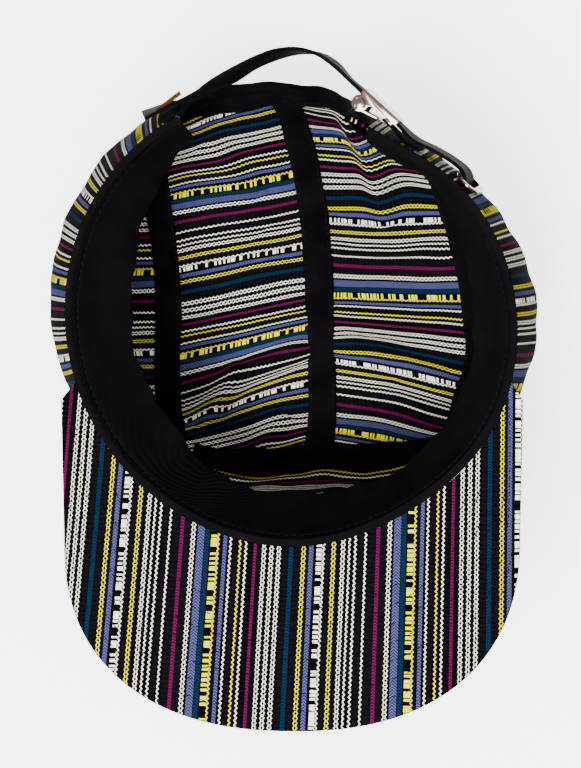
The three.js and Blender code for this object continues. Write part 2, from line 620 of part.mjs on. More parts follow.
function addClip() {
  const matrix = clipMatrix();
  const inside = STRAP_WIDTH / 2 + CLIP_ROOM;
  const outside = inside + METAL;
  const front = CLIP_BACK + CLIP_LENGTH;
  const lobeFrom = radians(15);
  const lobeTo = radians(130);
  const cheek = new THREE.Shape();
  cheek.moveTo(CLIP_BACK, CLIP_TOP).lineTo(front, CLIP_TOP).lineTo(front, CLIP_SKIRT);
  cheek.lineTo(CLIP_NECK.from, CLIP_SKIRT);
  cheek.quadraticCurveTo(CLIP_NECK.to, CLIP_NECK.out,
    CLIP_LOBE * Math.cos(lobeFrom), CLIP_LOBE * Math.sin(lobeFrom));
  cheek.absarc(0, 0, CLIP_LOBE, lobeFrom, lobeTo, true);
  cheek.closePath();
  const bore = solid(new THREE.CylinderGeometry(PIN_RADIUS + GAP, PIN_RADIUS + GAP, 3 * outside, 20)
    .rotateX(Math.PI / 2));
  const cover = new THREE.BoxGeometry(CLIP_LENGTH, METAL, 2 * outside)
    .translate((CLIP_BACK + front) / 2, CLIP_TOP - METAL / 2, 0);
  const bridgeAt = front - BRIDGE.fromFront;
  const bridge = new THREE.BoxGeometry(BRIDGE.length, BRIDGE.thickness, 2 * outside)
    .translate(bridgeAt, CLIP_SKIRT - BRIDGE.below, 0);
  const ear = new THREE.BoxGeometry(BRIDGE.length, EAR.height, METAL);
  const frame = [-outside, inside].reduce((sum, from) => sum
    .add(solid(plate(cheek, from, METAL, 10)))
    .add(solid(ear.clone().translate(bridgeAt, CLIP_SKIRT - EAR.below, from + METAL / 2))),
    solid(cover).add(solid(bridge)));
  add('buckle_frame', geometryOf(frame.subtract(bore)).applyMatrix4(matrix), NICKEL);

  // The lever curls round the pin and lies shut under the strap.
  const leverHalf = inside - GAP;
  const curl = new THREE.Shape();
  curl.absarc(0, 0, LEVER_CURL, radians(165), radians(285), false);
  curl.lineTo(LEVER_REACH, -0.4).lineTo(LEVER_REACH, 0.5).lineTo(1.6, -1.4);
  curl.absarc(0, 0, PIN_RADIUS + GAP + 0.5, radians(-40), radians(165), false);
  curl.closePath();
  const lever = solid(plate(curl, -leverHalf, 2 * leverHalf, 10)).subtract(bore);
  add('buckle_lever', geometryOf(lever).applyMatrix4(matrix), NICKEL);

  const shank = new THREE.CylinderGeometry(PIN_RADIUS, PIN_RADIUS, 2 * outside + 2 * GAP, 20);
  const head = new THREE.CylinderGeometry(PIN_HEAD.radius, PIN_HEAD.radius, PIN_HEAD.height, 20);
  const headPlace = outside + GAP + 0.4 * PIN_HEAD.height;
  const pin = solid(shank)
    .add(solid(head.clone().translate(0, headPlace, 0)))
    .add(solid(head.clone().translate(0, -headPlace, 0)));
  add('buckle_pin', geometryOf(pin).rotateX(Math.PI / 2).applyMatrix4(matrix), NICKEL);
}

// A slot with round ends.
function stadium(width, tall, Kind = THREE.Shape) {
  const radius = width / 2;
  const straight = tall / 2 - radius;
  const outline = new Kind();
  outline.absarc(0, straight, radius, 0, Math.PI, false);
  outline.absarc(0, -straight, radius, Math.PI, 2 * Math.PI, false);
  outline.closePath();
  return outline;
}

// The eyelet's flange lies on the side panel and its barrel goes through it.
function addEyelet() {
  const wall = wallAt(EYELET.azimuth, EYELET.height);
  const sideways = new THREE.Vector3(0, 0, 1).cross(wall.out);
  const upwards = wall.normal.clone().cross(sideways);
  const matrix = new THREE.Matrix4().makeBasis(sideways, upwards, wall.normal);
  matrix.setPosition(wall.point);
  const { slotWidth, slotTall, barrel } = EYELET;
  const flangeFrom = 0.9;
  const barrelFrom = -WALL - 1.2;
  const bore = solid(plate(stadium(slotWidth, slotTall), barrelFrom - 1, 8, 8));
  const flange = solid(plate(stadium(EYELET.width, EYELET.tall), flangeFrom, METAL, 8));
  const tube = stadium(slotWidth + 2 * barrel, slotTall + 2 * barrel);
  const eyelet = flange.add(solid(plate(tube, barrelFrom, flangeFrom - barrelFrom + 0.2, 8))).subtract(bore);
  add('slot_eyelet', geometryOf(eyelet).applyMatrix4(matrix), NICKEL);

  const room = 2 * (barrel + GAP);
  const opening = plate(stadium(slotWidth + room, slotTall + room), barrelFrom - 2, 8, 8).applyMatrix4(matrix);
  const panelMesh = parts.getObjectByName('side_panel_right');
  panelMesh.geometry = geometryOf(solid(panelMesh.geometry).subtract(solid(opening)));
}

addPanels();
addTapes();
addArchBinding();
addSweatband();
addPeak();
addStrap();
addTab();
addLabel();
addClip();
addEyelet();
parts.position.set(-ORIGIN.x, -ORIGIN.y, 0);

export default parts;
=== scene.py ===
import math

import bmesh
import bpy
import numpy as np
from mathutils import Matrix, Vector


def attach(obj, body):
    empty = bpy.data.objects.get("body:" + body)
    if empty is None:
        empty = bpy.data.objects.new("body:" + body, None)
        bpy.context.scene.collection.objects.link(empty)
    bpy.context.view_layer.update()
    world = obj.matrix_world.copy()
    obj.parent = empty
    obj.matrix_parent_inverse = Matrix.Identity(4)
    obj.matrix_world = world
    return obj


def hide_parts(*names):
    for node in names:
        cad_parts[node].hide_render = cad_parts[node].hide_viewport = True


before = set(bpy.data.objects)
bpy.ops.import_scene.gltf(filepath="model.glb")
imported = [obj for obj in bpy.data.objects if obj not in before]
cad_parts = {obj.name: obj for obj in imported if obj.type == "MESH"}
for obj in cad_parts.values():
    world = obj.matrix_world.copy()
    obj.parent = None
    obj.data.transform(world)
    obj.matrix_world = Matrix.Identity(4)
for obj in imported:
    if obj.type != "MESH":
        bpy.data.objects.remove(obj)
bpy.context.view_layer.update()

# View. The upturned cap seen from a metre above its rim, leaning four degrees to the right, with
# the peak towards the viewer and the whole cap inside an upright frame.
MM = 0.001
CAP_MIDDLE = np.array([-1.9, -33.1])  # middle of the whole cap, mm from the crown's axis
VIEW_FROM = (70.0, -31.6, 1105.0)
VIEW_TO = (0.0, -31.6, 105.0)
FILM_HEIGHT = 24.0
LENS = 80.1


def in_frame(points):
    """Points in mm from the crown's axis, as metres in the cap's own frame."""
    shifted = np.array(points, float)
    shifted[..., :2] -= CAP_MIDDLE
    return shifted * MM


def aim_camera():
    """A long lens above the cap, turned so that the strap is at the top of the picture."""
    data = bpy.data.cameras.new("view")
    data.sensor_fit = "VERTICAL"
    data.sensor_height = FILM_HEIGHT
    data.lens = LENS
    data.clip_start = 0.05
    camera = bpy.data.objects.new("view", data)
    bpy.context.collection.objects.link(camera)
    eye, target = Vector(in_frame(VIEW_FROM)), Vector(in_frame(VIEW_TO))
    ahead = (target - eye).normalized()
    upward = Vector((0, 1, 0))
    right = ahead.cross(upward).normalized()
    turn = Matrix((right, right.cross(ahead), -ahead)).transposed()
    camera.matrix_world = Matrix.Translation(eye) @ turn.to_4x4()
    bpy.context.scene.camera = camera


aim_camera()

# Crown. Five panels of hand-woven striped cotton, sewn into a soft crown that has sunk a little
# where it stands on its top. Each panel is one layer of cloth, seen from both sides.
WALL = 1.5  # mm, the woven cloth
GAP = 0.3  # mm, between pieces that touch
CROWN_DEPTH = 105.0  # rim to the flattened top
TOP_SHIFT = 6.5  # the crown leans this far to the right by the time it reaches its top
SEAM_GAP = 0.1  # from a panel's edge to the middle of its seam
SEAM_ROLL = 1.6  # width of the cloth that rolls into a seam
SEAM_DEPTH = 0.7  # how far it rolls in
PANEL_STEP = 1.3  # between two points of a panel's mesh
DISK_STEP = 0.004  # slopes of the crown are taken over this much, in the disk's measure
REACHES = np.array([0, 0.24, 0.46, 0.74, 1])  # pole, flat, shoulder, belly and rim
# The outline every 30 degrees from the front, growing to the right, in mm: radii of the rim, the
# belly, the shoulder and the flat top, depths below the rim, and the sweatband's lean.
# rim, drop, belly, belly depth, shoulder, shoulder depth, flat, lean
OUTLINE = np.array([
    (95.2, 3.0, 80.5, 42, 67, 94, 45, 17),
    (93.2, 1.8, 86.5, 43, 74, 89, 43, 14),
    (92.6, 0.3, 93.5, 45, 77, 86, 39, 14),
    (87.6, 0.0, 93.7, 45, 73, 87, 38, 15),
    (81.2, 0.0, 86.5, 45, 71, 87, 36, 5),
    (74.8, 0.0, 79.8, 45, 71, 85, 36, 1.5),
    (80.5, 0.0, 89.8, 47, 73, 84, 37, 1.5),
    (85.5, 0.0, 97.0, 45, 76, 85, 38, 4),
    (87.6, 0.0, 102.5, 45, 79, 87, 40, 15.5),
    (88.8, 0.0, 103.0, 45, 77, 87, 40, 20),
    (90.8, 0.3, 98.0, 45, 80, 86, 41, 21.5),
    (93.4, 1.8, 88.0, 43, 77, 89, 43, 18),
])
# Folds of the sunken cloth. Places are points of a disk whose middle is the crown's top and whose
# edge is the rim; width is in the disk's own measure, rise in mm into the hollow.
FOLDS = [
    {"start": (0.11, 0.62), "end": (0.19, 0.24), "width": 0.036, "rise": 7.0},
    {"start": (0.02, -0.08), "end": (0.33, -0.18), "width": 0.026, "rise": 3.6},
    {"start": (-0.29, -0.29), "end": (-0.20, -0.14), "width": 0.022, "rise": 5.0},
    {"start": (-0.24, -0.18), "end": (-0.03, -0.08), "width": 0.022, "rise": 5.0},
    {"start": (-0.09, -0.25), "end": (-0.16, -0.38), "width": 0.030, "rise": 3.0},
    {"start": (-0.30, 0.44), "end": (-0.16, 0.30), "width": 0.050, "rise": 2.5},
    {"start": (0.20, 0.10), "end": (0.36, 0.16), "width": 0.045, "rise": 2.0},
]
# Slow waves that keep the cloth from lying dead flat: across, along, start and height in mm.
WAVES = [(31, 12, 0.3, 0.30), (-14, 37, 1.9, 0.35), (43, -29, 4.1, 0.18), (64, 51, 2.2, 0.10)]
# Seams, each row an azimuth in degrees and a reach from the top (0) to the rim (1).
SIDE_SEAM_RIGHT = [
    (59, 1.0), (53, 0.8), (47, 0.64), (47, 0.51), (57, 0.45), (72, 0.43),
    (90, 0.42), (110, 0.43), (130, 0.49), (146, 0.62), (157, 0.77), (165.2, 0.872),
]
SIDE_SEAM_LEFT = [
    (-59, 1.0), (-53, 0.8), (-47, 0.64), (-47, 0.51), (-57, 0.44), (-72, 0.40),
    (-90, 0.39), (-108, 0.41), (-123, 0.48), (-134, 0.61), (-143, 0.75), (-151.2, 0.872),
]
CORNER = 3 / 11  # how far along a side seam the front seam meets it
FRONT_SEAM = [(-47, 0.51), (-24, 0.455), (0, 0.435), (24, 0.445), (47, 0.51)]
CENTRE_SEAM = [(-1, 0.435), (0, 0.2), (185, 0.12), (185.5, 0.42), (187, 0.72)]
ARCH = {"azimuth": 187, "half_span": 24, "height": 0.28, "roundness": 0.9, "seam_angle": 25}


def crown_row(azimuth):
    """The outline's numbers at any azimuth, smooth from row to row."""
    place = azimuth / (2 * math.pi) % 1 * len(OUTLINE)
    row = np.floor(place).astype(int)
    f = (place - row)[:, None]
    weights = [
        f * (f * (2 - f) - 1) / 2,
        (f * f * (3 * f - 5) + 2) / 2,
        f * (f * (4 - 3 * f) + 1) / 2,
        f * f * (f - 1) / 2,
    ]
    return sum(w * OUTLINE[(row + k - 1) % len(OUTLINE)] for k, w in enumerate(weights)).T


def profile(knots, reach, flat_start):
    """A smooth curve through one value for each of REACHES, taken at reach."""
    chords = np.diff(knots, axis=1) / np.diff(REACHES)
    slopes = np.empty_like(knots)
    slopes[:, 0] = chords[:, 0]
    spans = np.diff(REACHES)
    for i in range(1, len(REACHES) - 1):
        before, after = spans[i - 1], spans[i]
        slopes[:, i] = (chords[:, i - 1] * after + chords[:, i] * before) / (before + after)
    slopes[:, -1] = 1.5 * chords[:, -1] - 0.25 * (chords[:, -2] + chords[:, -1])
    if flat_start:
        slopes[:, :2] = 0
    i = np.clip(np.searchsorted(REACHES, reach, side="right") - 1, 0, len(spans) - 1)
    n = np.arange(len(reach))
    t = (reach - REACHES[i]) / spans[i]
    rest = 1 - t
    inside = (rest**2 * ((1 + 2 * t) * knots[n, i] + t * spans[i] * slopes[n, i])
              + t**2 * ((1 + 2 * rest) * knots[n, i + 1] - rest * spans[i] * slopes[n, i + 1]))
    return np.where(reach >= 1, knots[:, -1] + slopes[:, -1] * (reach - 1), inside)


def smooth_crown(places):
    """The crown's form without its folds: a point in mm for each place of the disk."""
    azimuth = np.arctan2(places[:, 0], -places[:, 1])
    reach = np.hypot(places[:, 0], places[:, 1])
    rim, drop, belly, belly_depth, shoulder, shoulder_depth, flat, _ = crown_row(azimuth)
    pole = np.zeros_like(rim)
    floor = pole + CROWN_DEPTH
    radius = profile(np.stack([pole, flat, shoulder, belly, rim], 1), reach, False)
    depth = profile(np.stack([floor, floor, shoulder_depth, belly_depth, drop], 1), reach, True)
    return np.stack([
        radius * np.sin(azimuth) + TOP_SHIFT * depth / CROWN_DEPTH,
        -radius * np.cos(azimuth),
        CROWN_DEPTH - depth,
    ], 1)


def facing_in(surface, places):
    """The way into the crown, square to a surface, at each place of the disk."""
    across = surface(places + [DISK_STEP, 0]) - surface(places - [DISK_STEP, 0])
    along = surface(places + [0, DISK_STEP]) - surface(places - [0, DISK_STEP])
    inward = np.cross(across, along)
    return inward / np.linalg.norm(inward, axis=1, keepdims=True)


def bump(distance, height, width):
    """A smooth rise of a height where the distance is nought, gone within two widths of it."""
    return height * np.exp(-((distance / width) ** 2))


def fold_rise(places):
    """How far the folds and waves lift the cloth into the hollow, in mm. The rim has none."""
    rise = np.zeros(len(places))
    for fold in FOLDS:
        start, end = np.array(fold["start"]), np.array(fold["end"])
        run = end - start
        along = np.clip((places - start) @ run / (run @ run), 0, 1)
        away = np.linalg.norm(places - start - along[:, None] * run, axis=1)
        rise += bump(away, fold["rise"], fold["width"]) * (1 - (2 * along - 1) ** 4)
    for across, along, start, height in WAVES:
        rise += height * np.sin(places[:, 0] * across + places[:, 1] * along + start)
    near_rim = np.clip((np.hypot(places[:, 0], places[:, 1]) - 0.8) / 0.2, 0, 1)
    return rise * (1 - near_rim)


def crown(places):
    """The cloth's outer face at disk places, in mm from the crown's axis."""
    places = np.asarray(places, float).reshape(-1, 2)
    points = smooth_crown(places)
    points += facing_in(smooth_crown, places) * fold_rise(places)[:, None]
    points[:, 2] = np.maximum(points[:, 2], 0)
    return points


def under(places, depth):
    """Points a depth in mm inside the cloth's outer face."""
    places = np.asarray(places, float).reshape(-1, 2)
    return crown(places) + facing_in(crown, places) * np.reshape(depth, (-1, 1))


def disk(azimuth, reach):
    """Places of the disk at azimuths in degrees and reaches from the top."""
    angle = np.radians(azimuth)
    return np.stack(np.broadcast_arrays(reach * np.sin(angle), -reach * np.cos(angle)), -1)


def through(points, t):
    """A smooth curve through the points, taken at each t from 0 to 1."""
    points = np.asarray(points, float)
    stretched = np.array([2 * points[0] - points[1], *points, 2 * points[-1] - points[-2]])
    place = np.clip(t, 0, 1) * (len(points) - 1)
    i = np.minimum(place.astype(int), len(points) - 2)
    f = (place - i)[:, None]
    a, b, c, d = (stretched[i + k] for k in range(4))
    ab, bc, cd = (
        np.sqrt(np.linalg.norm(q - p, axis=1, keepdims=True)) for p, q in ((a, b), (b, c), (c, d)))
    leave = ((b - a) / ab - (c - a) / (ab + bc) + (c - b) / bc) * bc
    reach = ((c - b) / bc - (d - b) / (bc + cd) + (d - c) / cd) * bc
    curve = 3 * (c - b) - 2 * leave - reach
    twist_shade_noise = 2 * (b - c) + leave + reach
    return b + f * leave + f**2 * curve + f**3 * twist_shade_noise


def seam(rows, start=0.0, end=1.0):
    """A stretch of a seam, as a function from 0..1 to disk places."""
    knots = disk(*np.array(rows).T)
    return lambda t: through(knots, start + (end - start) * np.asarray(t, float))


def rim(start, end):
    """A stretch of the rim, as a function from 0..1 to disk places."""
    return lambda t: disk(start + (end - start) * np.asarray(t, float), 1.0)


def arch(start, end):
    """A stretch of the arch at the back, from angle to angle: 0 is its right foot."""
    def places(t):
        angle = np.radians(start + (end - start) * np.asarray(t, float))
        azimuth = ARCH["azimuth"] - ARCH["half_span"] * np.cos(angle)
        return disk(azimuth, 1 - ARCH["height"] * np.abs(np.sin(angle)) ** ARCH["roundness"])
    return places


def loft(name, rings, cloth=None):
    """A closed piece through rings of points in mm. A ring's second half runs back on the other side."""
    rings = np.asarray(rings, float)
    steps, count = rings.shape[:2]
    index = np.arange(steps * count).reshape(steps, count)
    beside = np.roll(index, -1, axis=1)
    sides = np.stack([index[:-1], beside[:-1], beside[1:], index[1:]], -1).reshape(-1, 4)
    half = np.arange(count // 2 - 1)
    cap = np.stack([half, count - 1 - half, count - 2 - half, half + 1], -1)
    faces = np.concatenate([sides, cap, (steps - 1) * count + cap[:, ::-1]])
    points = in_frame(rings.reshape(-1, 3))
    a, b, c, d = (points[faces[:, k]] for k in range(4))
    if (a * (np.cross(b, c) + np.cross(c, d))).sum() < 0:
        faces = faces[:, ::-1]
    mesh = bpy.data.meshes.new(name)
    mesh.from_pydata(points.tolist(), [], faces.tolist())
    if cloth is not None:
        layer = mesh.uv_layers.new(name="Cloth")
        chart = np.reshape(cloth, (-1, 2))[faces.reshape(-1)]
        layer.data.foreach_set("uv", chart.astype(np.float32).reshape(-1))
    mesh.shade_smooth()
    mesh.set_sharp_from_angle(angle=math.radians(60))
    piece = bpy.data.objects.new(name, mesh)
    bpy.context.collection.objects.link(piece)
    return piece


def fit(piece, material, slot, *nodes):
    """Gives a finished piece its material and its place on the cap."""
    piece.data.materials.clear()
    piece.data.materials.append(material)
    if nodes:
        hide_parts(*nodes)
    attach(piece, "root")
    return piece


def spaced(size, step):
    """Shares from 0 to 1 of a size in mm, a step apart and closer where the edges roll in."""
    rolled = SEAM_ROLL * np.array([0, 0.2, 0.45, 0.75, 1.1])
    inner = np.linspace(2 * SEAM_ROLL, size - 2 * SEAM_ROLL, max(3, round(size / step)))
    return np.concatenate([rolled, inner, size - rolled[::-1]]) / size


def panel(name, near, far, left, right, cloth):
    """The cloth between four edges. near and far run the same way; left and right join their ends."""
    half = np.array([0.5])
    length = np.linalg.norm(crown(near(half)) - crown(far(half)))
    width = np.linalg.norm(crown(left(half)) - crown(right(half)))
    across = SEAM_GAP / width + spaced(width, PANEL_STEP) * (1 - 2 * SEAM_GAP / width)
    along = SEAM_GAP / length + spaced(length, PANEL_STEP) * (1 - 2 * SEAM_GAP / length)
    u, v = across[None, :, None], along[:, None, None]
    corners = (1 - u) * (1 - v) * near(0 * half) + u * (1 - v) * near(0 * half + 1)
    corners = corners + (1 - u) * v * far(0 * half) + u * v * far(0 * half + 1)
    places = (1 - v) * near(across)[None] + v * far(across)[None]
    places = places + (1 - u) * left(along)[:, None] + u * right(along)[:, None] - corners
    edge = np.minimum(np.minimum(u, 1 - u) * width, np.minimum(v, 1 - v) * length)[..., 0]
    roll = SEAM_DEPTH * np.clip(1 - edge / SEAM_ROLL, 0, 1) ** 2
    grid = places.shape[:2]
    outer = under(places, roll.ravel()).reshape(*grid, 3)
    inner = under(places, (WALL - 0.4 * roll).ravel()).reshape(*grid, 3)
    chart = cloth(places.reshape(-1, 2), outer.reshape(-1, 3)).reshape(*grid, 2)
    rings = np.concatenate([outer, inner[:, ::-1]], axis=1)
    return loft(name, rings, np.concatenate([chart, chart[:, ::-1]], axis=1))


def linear(colour):
    """A hex colour as linear red, green, blue and full opacity."""
    parts = [int(colour[i:i + 2], 16) / 255 for i in (1, 3, 5)]
    return [c / 12.92 if c <= 0.04045 else ((c + 0.055) / 1.055) ** 2.4 for c in parts] + [1.0]


def node(tree, kind, inputs=(), **settings):
    """Adds a node. An input is given a number, a colour, or what another node puts out."""
    made = tree.nodes.new(kind)
    for name, value in settings.items():
        setattr(made, name, value)
    for key, value in inputs.items() if isinstance(inputs, dict) else enumerate(inputs):
        if isinstance(value, bpy.types.Node):
            value = value.outputs[0]
        if isinstance(value, bpy.types.NodeSocket):
            tree.links.new(value, made.inputs[key])
        elif value is not None:
            made.inputs[key].default_value = value
    return made


def new_material(name):
    """An empty material and its tree."""
    material = bpy.data.materials.new(name)
    material.use_nodes = True
    material.node_tree.nodes.clear()
    return material, material.node_tree


# The cloth's stripes, repeated across it: where each starts and ends in mm, its yarn and how it
# is woven. A cord is one raised yarn that snakes between the picks and a chain is two that cross;
# tied stripes are tie-dyed bars, twill ones are fine herringbone and dotted ones single picks.
REPEAT = 78.0
YARNS = {
    "ground": "#100E12",
    "white": "#F2F0DC",
    "yellow": "#DCD200",
    "magenta": "#5E0840",
    "lavender": "#454874",
    "teal": "#06253D",
    "grey": "#1B191D",
}
WEAVES = {"ground": 0.0, "dotted": 0.2, "twill": 0.4, "cord": 0.6, "chain": 0.8, "tied": 1.0}
STRIPES = [
    (0.0, 2.3, "white", "tied"), (2.3, 3.8, "white", "cord"), (4.2, 5.4, "grey", "dotted"),
    (6.0, 8.1, "yellow", "chain"), (9.7, 11.8, "white", "chain"), (12.5, 13.9, "white", "cord"),
    (14.9, 16.3, "white", "cord"), (16.8, 18.4, "grey", "dotted"), (18.9, 20.3, "white", "cord"),
    (20.9, 23.3, "grey", "dotted"), (23.7, 25.1, "magenta", "twill"), (25.5, 27.7, "grey", "dotted"),
    (28.0, 30.1, "white", "chain"), (30.6, 33.3, "lavender", "twill"), (33.6, 35.5, "teal", "twill"),
    (36.2, 38.4, "yellow", "tied"), (38.4, 39.8, "yellow", "cord"), (40.9, 42.5, "lavender", "twill"),
    (43.3, 44.8, "white", "cord"), (45.2, 46.6, "grey", "dotted"), (47.1, 48.7, "yellow", "cord"),
    (49.5, 51.0, "white", "cord"), (53.1, 54.5, "magenta", "twill"), (56.4, 58.5, "white", "chain"),
    (59.4, 61.5, "white", "chain"), (62.3, 64.4, "white", "chain"), (64.9, 67.0, "grey", "dotted"),
    (67.2, 69.1, "teal", "twill"), (69.5, 71.5, "grey", "dotted"), (72.1, 74.2, "yellow", "chain"),
    (75.2, 76.9, "lavender", "twill"),
]


def woven_cotton():
    """Hand-woven cotton: matt black ground with raised yarns in zigzags, chains and tied bars.
    The yarns stand out of the ground, so they catch the light along their crests."""
    snake, picks = 0.38, 1.87  # how far a cord swings to each side and how often, mm
    cord_half, chain_half = 0.36, 0.27  # half the width of a yarn, mm
    dot_rows, dot_picks = 0.72, 0.62  # spacing of the ground's single picks, mm
    herringbone, yarn_twist = 1.2, 0.9  # from one slanting line to the next, mm
    half_rib = 0.94  # half the spacing of the ground's ribs, mm
    thirds = (27.85, 52.0)  # mm; a ramp holds only so many stripes, so there are three
    material, tree = new_material("hand_woven_cotton")
    chart = node(tree, "ShaderNodeUVMap", uv_map="Cloth")
    split = node(tree, "ShaderNodeSeparateXYZ", [chart])
    across, along = split.outputs["X"], split.outputs["Y"]
    turns = node(tree, "ShaderNodeMath", [across, REPEAT], operation="DIVIDE")
    place = node(tree, "ShaderNodeMath", [turns], operation="FRACT")

    def stripe_ramp(rows):
        ramp = node(tree, "ShaderNodeValToRGB", [place])
        stops = ramp.color_ramp
        stops.interpolation = "CONSTANT"
        stops.elements.remove(stops.elements[1])
        stops.elements[0].color = [*linear(YARNS["ground"])[:3], WEAVES["ground"]]
        for start, end, yarn, weave in rows:
            stop = stops.elements.new(max(start, 0.001) / REPEAT)
            stop.color = [*linear(YARNS[yarn])[:3], WEAVES[weave]]
            if end not in [row[0] for row in rows]:
                stop = stops.elements.new(end / REPEAT)
                stop.color = [*linear(YARNS["ground"])[:3], WEAVES["ground"]]
        return ramp

    def centre_ramp(rows):
        ramp = node(tree, "ShaderNodeValToRGB", [place])
        stops = ramp.color_ramp
        stops.interpolation = "CONSTANT"
        stops.elements.remove(stops.elements[1])
        before = 0.0
        for start, end, _, _ in rows:
            middle = (start + end) / 2 / REPEAT
            stop = stops.elements.new(max((before + start) / 2, 0.001) / REPEAT)
            stop.color = [middle, middle, middle, 1]
            before = end
        return ramp

    groups = [
        [row for row in STRIPES if low <= row[0] < high]
        for low, high in zip((0, *thirds), (*thirds, REPEAT))]
    yarn, centre = stripe_ramp(groups[0]), centre_ramp(groups[0])
    yarn, weave = yarn.outputs["Color"], yarn.outputs["Alpha"]
    for start, group in zip(thirds, groups[1:]):
        later = node(tree, "ShaderNodeMath", [place, start / REPEAT], operation="GREATER_THAN")
        ramp = stripe_ramp(group)
        yarn = node(tree, "ShaderNodeMix", {0: later, 6: yarn, 7: ramp}, data_type="RGBA").outputs[2]
        weave = node(tree, "ShaderNodeMix", {0: later, 2: weave, 3: ramp.outputs["Alpha"]}).outputs[0]
        centre = node(tree, "ShaderNodeMix", {0: later, 2: centre, 3: centre_ramp(group)}).outputs[0]
    aside = node(tree, "ShaderNodeMath", [place, centre], operation="SUBTRACT")
    aside = node(tree, "ShaderNodeMath", [aside, REPEAT], operation="MULTIPLY")
    aside_size = node(tree, "ShaderNodeMath", [aside], operation="ABSOLUTE")

    is_weave = {
        name: node(tree, "ShaderNodeMath", [weave, value, 0.05], operation="COMPARE")
        for name, value in WEAVES.items()
    }
    # A cord snakes from side to side as it crosses the picks. A chain's two yarns snake apart.
    swing = node(tree, "ShaderNodeMath", [along, picks / 2], operation="PINGPONG")
    swing = node(tree, "ShaderNodeMapRange", [swing, 0, picks / 2, -snake, snake])
    cord = node(tree, "ShaderNodeMath", [aside, swing], operation="SUBTRACT")
    cord = node(tree, "ShaderNodeMath", [cord], operation="ABSOLUTE")
    cord = node(tree, "ShaderNodeMapRange", [cord, cord_half, cord_half * 0.5, 0, 1])
    spread = node(tree, "ShaderNodeMath", [swing, 0.5 * snake], operation="ADD")
    spread = node(tree, "ShaderNodeMath", [spread], operation="ABSOLUTE")
    spread = node(tree, "ShaderNodeMath", [spread, 0.24], operation="ADD")
    chain = node(tree, "ShaderNodeMath", [aside_size, spread], operation="SUBTRACT")
    chain = node(tree, "ShaderNodeMath", [chain], operation="ABSOLUTE")
    chain = node(tree, "ShaderNodeMapRange", [chain, chain_half, chain_half * 0.5, 0, 1])
    # Tied bars: each is dyed or left dark at random, and some of the dyed ones are thin.
    bars = node(tree, "ShaderNodeMath", [along, picks], operation="DIVIDE")
    bar = node(tree, "ShaderNodeMath", [bars], operation="FLOOR")
    within = node(tree, "ShaderNodeMath", [bars], operation="FRACT")
    rows = node(tree, "ShaderNodeMath", [turns], operation="FLOOR")
    cell = node(tree, "ShaderNodeCombineXYZ", [bar, rows, 3.0])
    dyed = node(tree, "ShaderNodeTexWhiteNoise", {"Vector": cell}, noise_dimensions="3D")
    # A bar's share of its length grows with its chance, so some bars run together into blocks.
    share = node(tree, "ShaderNodeMapRange", [dyed, 0.22, 0.62, 0.35, 1.0])
    wide_bar = node(tree, "ShaderNodeMath", [within, share], operation="LESS_THAN")
    from_side = node(tree, "ShaderNodeMath", [within, 0.5], operation="PINGPONG")
    thin_bars = node(tree, "ShaderNodeMath", [from_side, 0.26], operation="GREATER_THAN")
    is_thin = node(tree, "ShaderNodeMath", [dyed, 0.70], operation="GREATER_THAN")
    bar_kind = node(tree, "ShaderNodeMix", {0: is_thin, 2: wide_bar, 3: thin_bars})
    is_dyed = node(tree, "ShaderNodeMath", [dyed, 0.20], operation="GREATER_THAN")
    tied = node(tree, "ShaderNodeMath", [bar_kind, is_dyed], operation="MULTIPLY")
    # Single picks of light yarn show through the dark ground, more in some patches than in others.
    dots = node(tree, "ShaderNodeCombineXYZ", [across, along, 0.0])
    ends = node(tree, "ShaderNodeMath", [across, 2 * math.pi / dot_rows], operation="MULTIPLY")
    ends = node(tree, "ShaderNodeMath", [ends], operation="SINE")
    weft = node(tree, "ShaderNodeMath", [along, 2 * math.pi / dot_picks], operation="MULTIPLY")
    weft = node(tree, "ShaderNodeMath", [weft], operation="SINE")
    pick = node(tree, "ShaderNodeMath", [ends, weft], operation="MULTIPLY")
    patchy = node(tree, "ShaderNodeTexNoise", {"Vector": dots, "Scale": 0.5, "Detail": 2.0})
    pick = node(tree, "ShaderNodeMath", [patchy, 0.9, pick], operation="MULTIPLY_ADD")
    dotted = node(tree, "ShaderNodeMapRange", [pick, 0.75, 1.15, 0, 1])
    # The herringbone is drawn coarser than the real one, which would be too fine to show.
    bones = node(tree, "ShaderNodeMath", [aside_size, along], operation="ADD")
    bones = node(tree, "ShaderNodeMath", [bones, 2 * math.pi / herringbone], operation="MULTIPLY")
    bones = node(tree, "ShaderNodeMath", [bones], operation="SINE")
    bones = node(tree, "ShaderNodeMapRange", [bones, -0.8, 0.3, 0.2, 1])

    cover = node(tree, "ShaderNodeMath", [is_weave["dotted"], dotted], operation="MULTIPLY")
    for name, pattern in (("twill", bones), ("cord", cord), ("chain", chain), ("tied", tied)):
        cover = node(tree, "ShaderNodeMath", [is_weave[name], pattern, cover], operation="MULTIPLY_ADD")
